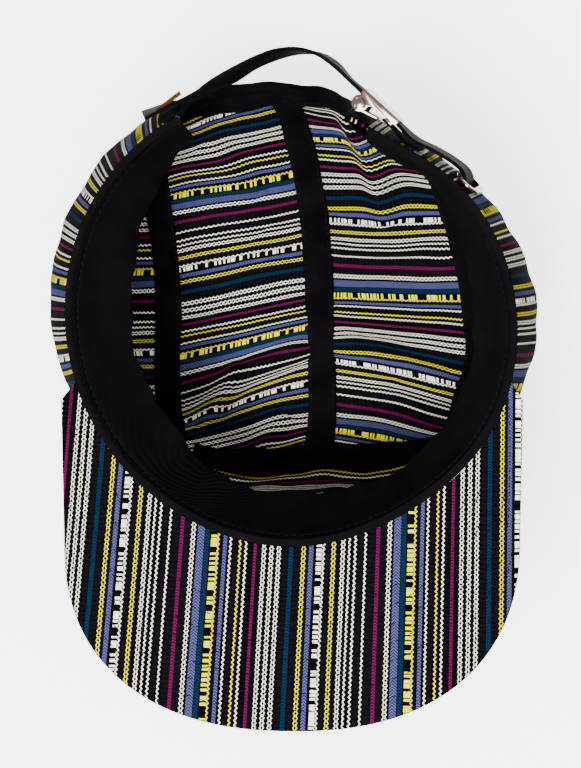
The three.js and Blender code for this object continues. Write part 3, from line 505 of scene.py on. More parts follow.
    # Hand-spun yarn is uneven and twisted, its twist painted into its colour as light and shade, and the
    # ground has a low rib along every second pick, painted darker in its furrows.
    twill = node(tree, "ShaderNodeMath", [across, along], operation="ADD")
    twill = node(tree, "ShaderNodeMath", [twill, 2 * math.pi / yarn_twist], operation="MULTIPLY")
    twill = node(tree, "ShaderNodeMath", [twill], operation="SINE")
    uneven = node(tree, "ShaderNodeTexNoise", {"Vector": dots, "Scale": 0.35, "Detail": 4.0})
    # Painted light and shade of each yarn's twist, laid over the yarn's own uneven tone.
    tone_and_twist_shade = node(tree, "ShaderNodeMath", [twill, 0.10, uneven], operation="MULTIPLY_ADD")
    tone_and_twist_shade = node(tree, "ShaderNodeMapRange", [tone_and_twist_shade, 0.2, 0.8, 0.78, 1.12])
    yarn = node(tree, "ShaderNodeVectorMath", [yarn, tone_and_twist_shade], operation="MULTIPLY")
    rib = node(tree, "ShaderNodeMath", [along, half_rib], operation="PINGPONG")
    rib = node(tree, "ShaderNodeMapRange", [rib, 0.3, 0.9, 0, 1])
    # Painted shade: the ground is drawn darker in the furrows between its ribs and lighter on their
    # crests.
    shaded_furrow, lit_crest = linear("#030204"), linear("#0A080B")
    ground = node(tree, "ShaderNodeMix", {0: rib, 6: shaded_furrow, 7: lit_crest}, data_type="RGBA")
    colour = node(tree, "ShaderNodeMix", {0: cover, 6: ground.outputs[2], 7: yarn}, data_type="RGBA")
    height = node(tree, "ShaderNodeMath", [rib, 0.15, cover], operation="MULTIPLY_ADD")
    relief = node(tree, "ShaderNodeBump", {"Strength": 0.55, "Distance": 0.00035, "Height": height})
    cotton = node(tree, "ShaderNodeBsdfPrincipled", {
        "Base Color": colour.outputs[2], "Roughness": 0.86, "Normal": relief,
        "Specular IOR Level": 0.01,
    })
    node(tree, "ShaderNodeOutputMaterial", {"Surface": cotton})
    return material


# Where the stripes of each top panel run: mm across the cloth, and how far forward or back that
# stripe lies on the disk beside the centre seam and beside the side seam.
# cloth, beside the centre seam, beside the side seam
LEFT_STRIPES = np.array([
    (92, 0.76, 0.575), (68, 0.54, 0.445), (48, 0.42, 0.34), (20, 0.285, 0.195), (-10, 0.12, 0.045),
    (-20, 0.05, -0.015), (-30, 0, -0.065), (-49, -0.075, -0.16), (-67, -0.125, -0.25),
    (-88, -0.215, -0.32), (-106, -0.32, -0.40),
])
RIGHT_STRIPES = np.array([
    (10, 0.615, 0.62), (38, 0.46, 0.47), (60, 0.355, 0.365), (79, 0.255, 0.25), (102, 0.135, 0.12),
    (116, 0.04, 0.03), (138, -0.055, -0.09), (157, -0.11, -0.19), (172, -0.17, -0.26),
    (180, -0.21, -0.31), (198, -0.325, -0.39),
])
STRIPES_FROM, STRIPES_TO = 0.04, 0.35  # how far to the side those two columns lie
CLOTH_PER_REACH = 182.0  # mm of cloth from the crown's top to its rim


def top_cloth(rows):
    """Charts a top panel: the stripes run from side to side."""
    def chart(places, _):
        share = (np.abs(places[:, 0]) - STRIPES_FROM) / (STRIPES_TO - STRIPES_FROM)
        lines = rows[:, 1] + share[:, None] * (rows[:, 2] - rows[:, 1])
        i = np.clip((lines > places[:, 1:]).sum(1) - 1, 0, len(rows) - 2)
        n = np.arange(len(places))
        t = (lines[n, i] - places[:, 1]) / (lines[n, i] - lines[n, i + 1])
        across = rows[i, 0] + t * (rows[i + 1, 0] - rows[i, 0])
        return np.stack([across, places[:, 0] * CLOTH_PER_REACH], 1)
    return chart


def side_cloth(middle, at_middle, crimp, skew):
    """Charts a side panel: the stripes run up from the rim, a little askew. middle is an azimuth
    and at_middle the cloth there at the rim; crimp is how tightly the cloth is gathered."""
    def chart(places, _):
        reach = np.hypot(places[:, 0], places[:, 1])
        azimuth = np.degrees(np.arctan2(places[:, 0], -places[:, 1]))
        widest = smooth_crown(places * np.minimum(1, REACHES[3] / reach)[:, None])
        radius = np.hypot(widest[:, 0], widest[:, 1])
        across = at_middle + skew * (reach - 1) + crimp * radius * np.radians(middle - azimuth)
        return np.stack([across, reach * CLOTH_PER_REACH], 1)
    return chart


# Reach from the top, and the mm across the front panel's cloth there. Beside its seam the stripes
# are drawn about twice as wide as lower down, as they look in the sliver of cloth seen inside.
FRONT_STRIPES = [(0.40, 36.0), (0.49, 46.0), (0.60, 56.0), (1.10, 147.0)]
FRONT_CURVE = 1.08  # mm of the front panel's curved cloth for each mm of its width


def front_cloth(places, points):
    """Charts the front panel: the stripes run from side to side."""
    reach = np.hypot(places[:, 0], places[:, 1])
    across = np.interp(reach, *np.array(FRONT_STRIPES).T)
    return np.stack([across, points[:, 0] * FRONT_CURVE], 1)


WOVEN_COTTON = woven_cotton()
corner_right, corner_left = SIDE_SEAM_RIGHT[0][0], SIDE_SEAM_LEFT[0][0]
arch_right = ARCH["azimuth"] - ARCH["half_span"]
arch_left = ARCH["azimuth"] + ARCH["half_span"] - 360
foot = ARCH["seam_angle"]
front_panel = panel(
    "front_panel_cloth", rim(corner_left, corner_right), seam(FRONT_SEAM),
    seam(SIDE_SEAM_LEFT, 0, CORNER), seam(SIDE_SEAM_RIGHT, 0, CORNER), front_cloth)
side_panel_right = panel(
    "side_panel_right_cloth", rim(corner_right, arch_right), seam(SIDE_SEAM_RIGHT, CORNER, 1),
    seam(SIDE_SEAM_RIGHT, 0, CORNER), arch(0, foot), side_cloth(115.8, 114.4, 1.0, -13))
side_panel_left = panel(
    "side_panel_left_cloth", rim(corner_left, arch_left), seam(SIDE_SEAM_LEFT, CORNER, 1),
    seam(SIDE_SEAM_LEFT, 0, CORNER), arch(180, 180 - foot), side_cloth(-91.9, 31.1, 1.10, 14))
top_panel_right = panel(
    "top_panel_right_cloth", seam(FRONT_SEAM, 0.5, 1), arch(90, foot),
    seam(CENTRE_SEAM), seam(SIDE_SEAM_RIGHT, CORNER, 1), top_cloth(RIGHT_STRIPES))
top_panel_left = panel(
    "top_panel_left_cloth", seam(FRONT_SEAM, 0.5, 0), arch(90, 180 - foot),
    seam(CENTRE_SEAM), seam(SIDE_SEAM_LEFT, CORNER, 1), top_cloth(LEFT_STRIPES))
# Each panel's cut: the rectangle it is cut from, in metres, and its own area in square metres.
PANEL_CUTS = [
    (front_panel, "front_panel", (0.195, 0.098), 0.0126),
    (side_panel_right, "side_panel_right", (0.170, 0.118), 0.0142),
    (side_panel_left, "side_panel_left", (0.180, 0.122), 0.0148),
    (top_panel_right, "top_panel_right", (0.085, 0.205), 0.0128),
    (top_panel_left, "top_panel_left", (0.090, 0.205), 0.0135),
]
for cut_panel, replaced, flat, cut_area in PANEL_CUTS:
    fit(cut_panel, WOVEN_COTTON, "woven_cotton", replaced)

# Seam tapes. Black cotton tape folded and sewn over each seam inside the crown with two rows of
# stitches, so that the seam's raw edges make a low ridge along its middle.
TAPE_WIDTH = 12.5
FRONT_TAPE_WIDTH = 18.0  # over the front seam, whose edges are thicker
TAPE_THICKNESS = 0.9
TAPE_GAP = 0.6  # between cloth and tape
TAPE_RIDGE = (0.55, 2.4)  # how high its middle stands over the seam's edges, and how wide, mm
TAPE_DENT = (0.28, 0.45)  # how deep its stitches press it in, and how wide a groove, mm
TAPE_FOLD = (0.45, 0.03)  # its edges turn under this many mm, over this share of its width
TAPE_SECTION = np.linspace(-0.5, 0.5, 27)
TAPE_STITCH = 1.35  # from a tape's edge to its row of stitches, mm


def black_cotton(name, thread, ribs):
    """Black cotton tape or twill: matt, with fine diagonal ribs that only show where light grazes.
    ribs, in metres, sets how coarse they are."""
    material, tree = new_material(name)
    where = node(tree, "ShaderNodeTexCoord").outputs["Object"]
    place = node(tree, "ShaderNodeMapping", {"Vector": where, "Rotation": (0.6, 0.4, 0.8)})
    weave = node(tree, "ShaderNodeTexWave", {"Vector": place, "Scale": 1 / ribs / 2, "Distortion": 0.6},
                 wave_type="BANDS", bands_direction="DIAGONAL")
    lint = node(tree, "ShaderNodeTexNoise", {"Vector": where, "Scale": 900.0, "Detail": 3.0})
    cloud = node(tree, "ShaderNodeTexNoise", {"Vector": where, "Scale": 60.0, "Detail": 4.0})
    worn = node(tree, "ShaderNodeMapRange", [cloud, 0.35, 0.7, 0, 1])
    fresh, faded = linear(thread), linear("#0B090C")
    colour = node(tree, "ShaderNodeMix", {0: worn, 6: fresh, 7: faded}, data_type="RGBA")
    height = node(tree, "ShaderNodeMath", [lint, 0.6, weave.outputs["Fac"]], operation="MULTIPLY_ADD")
    relief = node(tree, "ShaderNodeBump", {"Strength": 0.5, "Distance": 0.0003, "Height": height})
    cotton = node(tree, "ShaderNodeBsdfPrincipled", {
        "Base Color": colour.outputs[2], "Roughness": 0.95, "Normal": relief, "Specular IOR Level": 0.03,
    })
    node(tree, "ShaderNodeOutputMaterial", {"Surface": cotton})
    return material


def beside(route, t, distance):
    """Disk places a distance in mm to the side of a route, at each t."""
    t = np.asarray(t, float)
    ahead = route(np.minimum(t + 0.01, 1)) - route(np.maximum(t - 0.01, 0))
    ahead /= np.linalg.norm(ahead, axis=1, keepdims=True)
    side = np.stack([-ahead[:, 1], ahead[:, 0]], 1)
    here = route(t)
    apart = crown(here + DISK_STEP * side) - crown(here - DISK_STEP * side)
    stretch = np.linalg.norm(apart, axis=1) / (2 * DISK_STEP)
    return here + side * (distance / stretch)[:, None]


def narrowed(t, start, end, end_share):
    """The share of its width that a tape keeps at each t, if it is cut narrower at its ends."""
    return np.interp(np.minimum(t - start, end - t), [0, 0.16], [end_share, 1])


def tape(name, route, start, end, layer, width, end_share):
    """A tape over a stretch of a seam, its ridge in the middle and its stitched rows pressed in."""
    t = np.linspace(start, end, 150)
    kept = width * narrowed(t, start, end, end_share)
    outer, inner = [], []
    turned_under, turned_share = TAPE_FOLD
    for share in TAPE_SECTION:
        from_middle = share * kept
        ridge = bump(from_middle, *TAPE_RIDGE)
        pressed = bump(kept / 2 - abs(from_middle) - TAPE_STITCH, *TAPE_DENT)
        folded = turned_under * max(0.0, (abs(share) - 0.5 + turned_share) / turned_share) ** 2
        places = beside(route, t, from_middle)
        outer.append(under(places, layer + folded))
        inner.append(under(places, layer + TAPE_THICKNESS + ridge - pressed - folded))
    return loft(name, np.stack(outer + inner[::-1], axis=1))


COTTON_TAPE = black_cotton("cotton_tape", "#040305", 0.0007)
inside_layer = WALL + TAPE_GAP
centre_route = seam(CENTRE_SEAM)
front_route = seam(FRONT_SEAM)
side_route_right = seam(SIDE_SEAM_RIGHT)
side_route_left = seam(SIDE_SEAM_LEFT)
# Each tape's seam, where on it the tape starts and ends, its width in mm, the share of it that is
# left at its ends and its length in metres.
TAPES = [
    ("side_seam_tape_right", side_route_right, 0.03, 0.965, TAPE_WIDTH, 1.0, 0.235),
    ("side_seam_tape_left", side_route_left, 0.03, 0.965, TAPE_WIDTH, 1.0, 0.235),
    ("front_seam_tape", front_route, 0.070, 0.930, FRONT_TAPE_WIDTH, 0.55, 0.080),
    ("centre_seam_tape", centre_route, 0.060, 0.965, TAPE_WIDTH, 1.0, 0.170),
]
for node_name, route, start, end, width, end_share, length in TAPES:
    # The crossing tapes lie over the ends of the others.
    over = {"front_seam_tape": 0.7, "centre_seam_tape": -0.2}.get(node_name, 0.0)
    piece = tape(node_name + "_cotton", route, start, end, inside_layer + over, width, end_share)
    fit(piece, COTTON_TAPE, "black_cotton", node_name)

# Stitches. Black thread in even rows, each stitch sunk into the cloth at both ends. The seams are
# sewn from inside through the tapes, so both of their rows show on the outside too.


def stitch_tree():
    """Rows of stitches along the edges of a mesh, with named sizes."""
    tree = bpy.data.node_groups.new("stitch_rows", "GeometryNodeTree")
    sockets = [
        ("Rows", "NodeSocketGeometry"), ("Pitch", "NodeSocketFloat"), ("Stitch", "NodeSocketFloat"),
        ("Thread", "NodeSocketFloat"), ("Yarn", "NodeSocketMaterial"),
    ]
    for name, kind in sockets:
        tree.interface.new_socket(name, in_out="INPUT", socket_type=kind)
    tree.interface.new_socket("Stitches", in_out="OUTPUT", socket_type="NodeSocketGeometry")
    given = node(tree, "NodeGroupInput").outputs
    rows = node(tree, "GeometryNodeMeshToCurve", {"Mesh": given["Rows"]})
    apart = {"Curve": rows, "Length": given["Pitch"]}
    places = node(tree, "GeometryNodeResampleCurve", apart, mode="LENGTH")
    run = node(tree, "GeometryNodeInputTangent")
    turn = node(tree, "FunctionNodeAlignRotationToVector", {"Vector": run}, axis="X")
    bead = node(tree, "GeometryNodeMeshUVSphere", {"Segments": 6, "Rings": 4, "Radius": 1.0})
    half = node(tree, "ShaderNodeMath", [given["Stitch"], 0.5], operation="MULTIPLY")
    size = node(tree, "ShaderNodeCombineXYZ", [half, given["Thread"], given["Thread"]])
    sewn = node(tree, "GeometryNodeInstanceOnPoints", {
        "Points": places, "Instance": bead, "Rotation": turn, "Scale": size})
    real = node(tree, "GeometryNodeRealizeInstances", {"Geometry": sewn})
    dyed = node(tree, "GeometryNodeSetMaterial", {"Geometry": real, "Material": given["Yarn"]})
    node(tree, "NodeGroupOutput", {"Stitches": dyed})
    return tree


def cotton_thread():
    """Spun black thread with a faint gloss, so that single stitches read against the tape."""
    material, tree = new_material("cotton_thread")
    where = node(tree, "ShaderNodeTexCoord")
    # Painted light and shade of the thread's twist, in random patches: lighter on its crests, darker in
    # its hollows.
    twist_shade_noise = node(tree, "ShaderNodeTexNoise", {"Vector": where.outputs["Object"], "Scale": 3000.0})
    shaded_hollow, lit_crest = linear("#050406"), linear("#0C0B0E")
    colour = node(tree, "ShaderNodeMix", {0: twist_shade_noise, 6: shaded_hollow, 7: lit_crest}, data_type="RGBA")
    thread = node(tree, "ShaderNodeBsdfPrincipled", {
        "Base Color": colour.outputs[2], "Roughness": 0.8, "Specular IOR Level": 0.08})
    node(tree, "ShaderNodeOutputMaterial", {"Surface": thread})
    return material


STITCH_TREE = stitch_tree()
COTTON_THREAD = cotton_thread()


def sew(name, rows, pitch=3.1, stitch=2.5, thread=0.26):
    """Stitches along rows of points in mm, as one plain mesh."""
    points, edges = [], []
    for row in rows:
        start = len(points)
        points += in_frame(row).tolist()
        edges += [(k, k + 1) for k in range(start, len(points) - 1)]
    guide_mesh = bpy.data.meshes.new(name)
    guide_mesh.from_pydata(points, edges, [])
    guide = bpy.data.objects.new(name + "_guide", guide_mesh)
    bpy.context.collection.objects.link(guide)
    modifier = guide.modifiers.new("stitches", "NODES")
    modifier.node_group = STITCH_TREE
    given = {"Pitch": pitch * MM, "Stitch": stitch * MM, "Thread": thread * MM, "Yarn": COTTON_THREAD}
    for item in STITCH_TREE.interface.items_tree:
        if item.name in given and item.in_out == "INPUT":
            modifier[item.identifier] = given[item.name]
    evaluated = guide.evaluated_get(bpy.context.evaluated_depsgraph_get())
    mesh = bpy.data.meshes.new_from_object(evaluated)
    bpy.data.objects.remove(guide)
    mesh.shade_smooth()
    piece = bpy.data.objects.new(name, mesh)
    bpy.context.collection.objects.link(piece)
    return fit(piece, COTTON_THREAD, "black_cotton")


def rows_beside(route, start, end, distances, depth, end_share=1.0):
    """Rows of stitches at distances in mm to the side of a route, a depth in mm inside the cloth."""
    t = np.linspace(start, end, 260)
    kept = narrowed(t, start, end, end_share)
    rows = [under(beside(route, t, distance * kept), depth) for distance in distances]
    for row in rows:
        row[:, 2] = np.maximum(row[:, 2], 0.3)  # the crown's top rests on the thread's upper side
    return rows


# The thread lies a little sunk in the tape inside and a little proud of the cloth outside.
pressed_tape = inside_layer + TAPE_THICKNESS - 0.2
on_cloth = -0.05
inside_rows, outside_rows = [], []
for _, route, start, end, width, end_share, _ in TAPES:
    both_sides = (TAPE_STITCH - width / 2, width / 2 - TAPE_STITCH)
    inside_rows += rows_beside(route, start, end, both_sides, pressed_tape, end_share)
    further = (max(start - 0.02, 0), min(end + 0.03, 1))
    outside_rows += rows_beside(route, *further, both_sides, on_cloth, end_share)
sew("seam_stitches_inside", inside_rows)
sew("seam_stitches_outside", outside_rows)

# Arch binding. A strip of the same black cotton folded over the arch's raw edge and sewn through
# both leaves and the cloth between them. Inside the cap it is wider and covers the tapes' ends.
BINDING_WIDTH = 8.6  # its outer leaf, mm
BINDING_INSIDE = 11.3  # its inner leaf, mm
BINDING_SPREAD = 1.35  # the inner leaf is wider by this share again at the arch's left foot
BINDING_SEWN = BINDING_WIDTH - 1.6  # from the arch's edge to the row of stitches, mm
BINDING_DENT = (0.25, 0.5)  # how deep the stitches pull the cloth in, and how wide a dent, mm
BINDING_ENDS = 1.5  # degrees of the arch left bare at either end
OVER_TAPES = 1.8  # how far its inner leaf rises to pass over the ends of the tapes, mm


def arch_binding():
    """The folded strip: down its outer leaf, round the arch's edge and down its inner leaf."""
    edge = GAP + TAPE_THICKNESS
    outside, inside = -edge, WALL + edge
    middle = WALL / 2
    nose = np.radians(np.linspace(90, 270, 9))
    reach_out = np.linspace(BINDING_WIDTH, 0, 9)
    reach_in = np.linspace(0, BINDING_INSIDE, 12)
    section = [(r, outside + bump(r - BINDING_SEWN, *BINDING_DENT)) for r in reach_out]
    section += [(edge * np.cos(a), middle - (middle - outside) * np.sin(a)) for a in nose[1:-1]]
    t = np.linspace(BINDING_ENDS / 180, 1 - BINDING_ENDS / 180, 120)
    spread = 1 + BINDING_SPREAD * np.clip((t - 0.5) / 0.35, 0, 1)
    lift = OVER_TAPES * np.clip((reach_in - 1) / 3, 0, 1)
    section += [
        (r * spread, inside + up - bump(r - BINDING_SEWN, *BINDING_DENT))
        for r, up in zip(reach_in, lift)]
    back = [(r * spread, WALL + GAP + up) for r, up in zip(reach_in[::-1], lift[::-1])]
    back += [(-GAP * 0.6, middle)] * (len(nose) - 2)
    section += back + [(r, -GAP) for r in reach_out[::-1]]
    route = arch(0, 180)
    rings = [under(beside(route, t, r), d) for r, d in section]
    return loft("arch_binding_cotton", np.stack(rings, axis=1))


binding = fit(arch_binding(), COTTON_TAPE, "black_cotton", "arch_binding")
binding_rows = rows_beside(arch(0, 180), 0.03, 0.97, (BINDING_SEWN,), -1.0)
binding_rows += rows_beside(arch(0, 180), 0.03, 0.97, (BINDING_SEWN,), WALL + 1.0 + OVER_TAPES)
sew("arch_stitches", binding_rows)

# Sweatband. A wide band of black cotton twill sewn to the rim and turned inside, where its free
# edge stands away from the wall.
BAND_WIDTH = 33.0
BAND_THICKNESS = 1.2
BAND_FROM, BAND_TO = -149, 156  # azimuths of its two ends
BAND_STITCH = 3.6  # from the rim to its row of stitches, mm
# The fold over the rim, its upper and its lower face: depth from the cloth's outer face and rise, mm.
BAND_OVER_RIM = [(-0.26, -0.9), (-0.27, 0.1), (0.1, 0.55), (0.9, 0.8), (1.9, 0.75), (2.6, 0.45)]
BAND_AGAINST_RIM = [(-0.03, -0.9), (-0.03, 0.05), (0.3, 0.15), (0.9, 0.2), (1.4, 0.2), (1.7, 0.1)]
BAND_DENT = (0.35, 0.5)  # how deep its stitches press it in, and how wide a groove, mm
BAND_TAPER = (11, 0.78)  # its last degrees at either end, and the share of its width left there
# Its free edge waves: how many waves go round the rim, where they start and their height in mm.
BAND_WAVES = [(7, 0.8, 0.9), (17, 2.0, 0.6), (41, 0.0, 0.3)]


def band_points(azimuth, down, depth):
    """Points of the band a distance down from the rim, depth from its outer face, in mm."""
    foot_points = under(disk(azimuth, 1.0), WALL + GAP)
    lean = crown_row(np.radians(azimuth))[7]
    angle = np.radians(azimuth)
    inward = np.stack([-np.sin(angle), np.cos(angle), 0 * angle], 1)
    taper_degrees, end_share = BAND_TAPER
    from_end = np.minimum(azimuth - BAND_FROM, BAND_TO - azimuth)
    share = down / BAND_WIDTH * np.interp(from_end, [0, taper_degrees], [end_share, 1])
    wave = sum(height * np.sin(count * angle + start) for count, start, height in BAND_WAVES)
    away = lean * (0.8 * share + 0.2 * share**2) + wave * share**1.5
    fall = np.sqrt(BAND_WIDTH**2 - lean**2)
    across = inward * (fall / BAND_WIDTH)[:, None] + np.array([0, 0, 1]) * (lean / BAND_WIDTH)[:, None]
    points = foot_points + inward * away[:, None] + across * depth
    points[:, 2] -= fall * share
    return points


def sweatband():
    """The band: over the rim, down to its hem and back up its other face."""
    azimuth = np.linspace(BAND_FROM, BAND_TO, 420)
    near_rim = [0, 0.4, 1.0, 2.0, 3.0, 3.3, 3.6, 3.9, 4.3]
    down = np.concatenate([near_rim, np.linspace(5.5, 31.5, 14), [32.4, BAND_WIDTH]])
    inner, outer = (
        [under(disk(azimuth, 1.0), depth) + [0, 0, rise] for depth, rise in face]
        for face in (BAND_OVER_RIM, BAND_AGAINST_RIM))
    for d in down:
        pressed = bump(d - BAND_STITCH, *BAND_DENT)
        hem = 0.45 * max(0.0, 1 - (BAND_WIDTH - d) / 0.8)
        outer.append(band_points(azimuth, d, hem))
        inner.append(band_points(azimuth, d, BAND_THICKNESS - hem - pressed))
    return loft("sweatband_twill", np.stack(outer + inner[::-1], axis=1))


COTTON_TWILL = black_cotton("cotton_twill", "#070608", 0.0009)
band = fit(sweatband(), COTTON_TWILL, "black_cotton", "sweatband")
band_azimuth = np.linspace(BAND_FROM + 1, BAND_TO - 1, 500)
sew("sweatband_stitches", [band_points(band_azimuth, BAND_STITCH, BAND_THICKNESS - 0.15)])

# Peak. A flat board between two layers of the striped cloth, sewn to the front of the rim. The
# layers are seamed at its edge and quilted through with rows of black stitches.
PEAK_THICKNESS = 3.2
PEAK_HALF_WIDTH = 89.5
PEAK_SQUARE_TO = -92.0  # its sides run straight as far forward as this
PEAK_TIP = -167.0
PEAK_ROUNDNESS = 2.3  # power of the curve that rounds its front
PEAK_RISE = 8.0  # its tip stands this much above the rim
PEAK_ARCH = 7.0  # its sides stand this much above its middle, at the tip
PEAK_SIDE_END = -38.0  # how far back its sides start
PEAK_SEAM_END = 70.0  # azimuth of its corners
PEAK_FLARE = 1.2  # its sides spread by this much towards the back
PEAK_BOW = -0.012  # its sag between seam and edge, as a share of its length
ROUND_SHARE = 0.8  # share of its outline that is rounded
REACH_PER_MM = 0.006  # reach of the disk for each mm down the wall from the rim
FRONT_RIM, FRONT_DROP = OUTLINE[0, 0], OUTLINE[0, 1]


def peak_edge(s):
    """The peak's outer edge in mm, s from -1 at its left corner to 1 at the right one."""
    side, size = np.sign(s), np.abs(s)
    t = np.minimum(1, size / ROUND_SHARE) * math.pi / 2
    power = 2 / PEAK_ROUNDNESS
    back = np.clip((size - ROUND_SHARE) / (1 - ROUND_SHARE), 0, 1)
    x = side * (PEAK_HALF_WIDTH * np.sin(t) ** power + PEAK_FLARE * back)
    y = PEAK_SQUARE_TO + (PEAK_TIP - PEAK_SQUARE_TO) * np.abs(np.cos(t)) ** power
    y = y + back * (PEAK_SIDE_END - PEAK_SQUARE_TO)
    forward = np.clip((-FRONT_RIM - y) / (-FRONT_RIM - PEAK_TIP), 0, 1)
    arched = FRONT_DROP + (PEAK_ARCH - FRONT_DROP) * forward
    lift = PEAK_RISE * forward + (x / PEAK_HALF_WIDTH) ** 2 * arched
    return np.stack([x, y, CROWN_DEPTH - FRONT_DROP + lift], 1)


def peak_points(s, t, depth):
    """Points of the peak from its seam (0) to its edge (1), a depth in mm below its upper face."""
    azimuth = s * PEAK_SEAM_END
    seam_top = under(disk(azimuth, 1.0), -GAP)
    seam_top[:, 2] = smooth_crown(disk(azimuth, 1.0))[:, 2]
    seam_bottom = under(disk(azimuth, 1 - PEAK_THICKNESS * REACH_PER_MM), -GAP)
    seam_bottom[:, 2] = seam_top[:, 2] - PEAK_THICKNESS
    start = seam_top + (seam_bottom - seam_top) * np.reshape(depth / PEAK_THICKNESS, (-1, 1))
    end = peak_edge(s)
    bow = 4 * t * (1 - t) * (end[:, 1] - start[:, 1]) * PEAK_BOW
    end[:, 2] -= depth
    points = start + (end - start) * t[:, None]
    points[:, 2] += bow
    return points


def peak_cloth(points):
    """Charts the peak: the stripes run from front to back and fan out a little."""
    x, y = points[..., 0], points[..., 1]
    return np.stack([x - 9 - (0.045 - 0.00044 * x) * (y + 116), y], -1)


QUILT_INSET = 8.2  # from the edge to the first row of stitches, mm
QUILT_PITCH = 6.6  # from one row to the next, mm
QUILT_ROWS = 7
QUILT_DEPTH = 0.3  # how deep its stitches press the cloth in, mm
QUILT_GROOVE = 0.9  # and how wide a groove they leave, mm
QUILT_PROUD = 0.05  # how far the thread stands above the groove, mm
LOWER_FACE_SHIFT = 31.0  # the stripes of the lower face are a piece of their own, mm


def peak_lengths(s):
    """How far the edge lies from the seam at each s, in mm."""
    return np.linalg.norm(peak_points(s, 0 * s + 1, 0) - peak_points(s, 0 * s, 0), axis=1)


def build_peak():
    """The covered board: its upper face from seam to edge, round the edge and back underneath."""
    s = np.linspace(-1, 1, 260)
    s = 0.88 * s + 0.12 * np.sin(s * math.pi / 2)  # closer together towards the corners
    length = peak_lengths(s)
    nose = PEAK_THICKNESS / 2
    upper, lower = [], []
    for t in [0, 0.008, 0.02, *np.linspace(0.04, 1, 72) ** 0.9]:
        shares = t * (1 - nose / length)
        inset = (1 - shares) * length
        rows = QUILT_INSET + QUILT_PITCH * np.arange(QUILT_ROWS)[:, None]
        pressed = bump(inset - rows, QUILT_DEPTH, QUILT_GROOVE).sum(0)
        upper.append(peak_points(s, shares, pressed))
        lower.append(peak_points(s, shares, PEAK_THICKNESS - pressed))
    edge = peak_points(s, 1 + 0 * s, nose)
    outward = edge - peak_points(s, 0 * s, nose)
    outward[:, 2] = 0
    outward /= np.linalg.norm(outward, axis=1, keepdims=True)
    turn = np.radians([70, 50, 30, 12, 0, -12, -30, -50, -70])
    rounded = [edge + nose * (outward * (math.cos(a) - 1) + [0, 0, math.sin(a)]) for a in turn]
    rings = np.stack(upper + rounded + lower[::-1], axis=1)
    chart = peak_cloth(rings)
    chart[:, len(upper) + len(turn) // 2:, 0] += LOWER_FACE_SHIFT
    return loft("peak_cloth", rings, chart)


fit(build_peak(), WOVEN_COTTON, "woven_cotton", "peak")
quilt_s = np.linspace(-0.985, 0.985, 600)
quilt_lengths = peak_lengths(quilt_s)
quilt_rows = []
for row in range(QUILT_ROWS):
    shares = 1 - (QUILT_INSET + QUILT_PITCH * row) / quilt_lengths
    kept = shares > 0.06  # a row stops short of the seam
    for depth in (QUILT_DEPTH - QUILT_PROUD, PEAK_THICKNESS - QUILT_DEPTH + QUILT_PROUD):
        quilt_rows.append(peak_points(quilt_s[kept], shares[kept], depth))
sew("peak_stitches", quilt_rows, pitch=3.0, stitch=2.3, thread=0.22)

# Strap. A strap of black leather on edge across the arch. Its left end is sewn down under the
# label, and its right end runs through the clip and dives into the slotted eyelet.
STRAP_WIDTH = 15.0
STRAP_THICKNESS = 1.5
STRAP_TOP = 104.5
# Its upper and its lower edge in plan, in mm.
STRAP = [
    ((-57.5, 72.4), (-60.6, 76.8)), ((-48.0, 77.2), (-48.8, 80.4)), ((-39.0, 81.6), (-38.8, 82.0)),
    ((-31.5, 87.2), (-32.2, 85.4)), ((-23.2, 92.0), (-23.4, 88.6)), ((-14.6, 96.2), (-14.8, 94.0)),
    ((-6.0, 99.2), (-6.2, 97.6)), ((3.0, 99.6), (3.1, 99.8)), ((10.6, 97.2), (11.4, 99.2)),
    ((17.0, 92.6), (18.2, 95.2)), ((22.4, 87.6), (23.2, 89.2)),
]
CLIP_PIVOT = (28.0, 79.0)  # the pin's axis in plan, mm
CLIP_TURN = -42.7  # degrees from +X to the way the clip points
CLIP_TILT = 8.0  # degrees that its lower side stands out
CLIP_OUT = 3.45  # from the pin out to the middle of the strap's thickness, mm
CLIP_STATIONS = (-3, 4, 10.5, 17)  # places along the clip that the strap passes, mm from the pin
# The free end: azimuth, how far off the cloth, and how far it has come down, in mm.
TAIL = [
    (143, 3.6, 0.8), (137, 4.0, 2.2), (131.5, 4.2, 3.8), (127.8, 3.9, 4.9), (125.8, 2.6, 5.3),
    (124.8, 0.5, 5.5), (124.2, -1.7, 5.5), (123.2, -3.0, 5.5),
]


def wall_point(azimuth, height, out):
    """A point off the wall's outer face at an azimuth and a height, in mm."""
    low, high = REACHES[2], 1.0
    for _ in range(30):
        middle = (low + high) / 2
        if smooth_crown(disk([azimuth], middle))[0, 2] < height:
            low = middle
        else:
            high = middle
    place = disk([azimuth], low)
    outward = -facing_in(smooth_crown, place)[0]
    outward[2] = 0
    return smooth_crown(place)[0] + out * outward / np.linalg.norm(outward)


def clip_point(along, out, up):
    """A point from the clip's own axes: along it, out of it and up."""
    turn = Matrix.Rotation(math.radians(CLIP_TURN), 3, "Z")
    tilt = Matrix.Rotation(math.radians(CLIP_TILT), 3, "X")
    return np.array(turn @ tilt @ Vector((along, out, up))) + [*CLIP_PIVOT, STRAP_TOP - STRAP_WIDTH / 2]


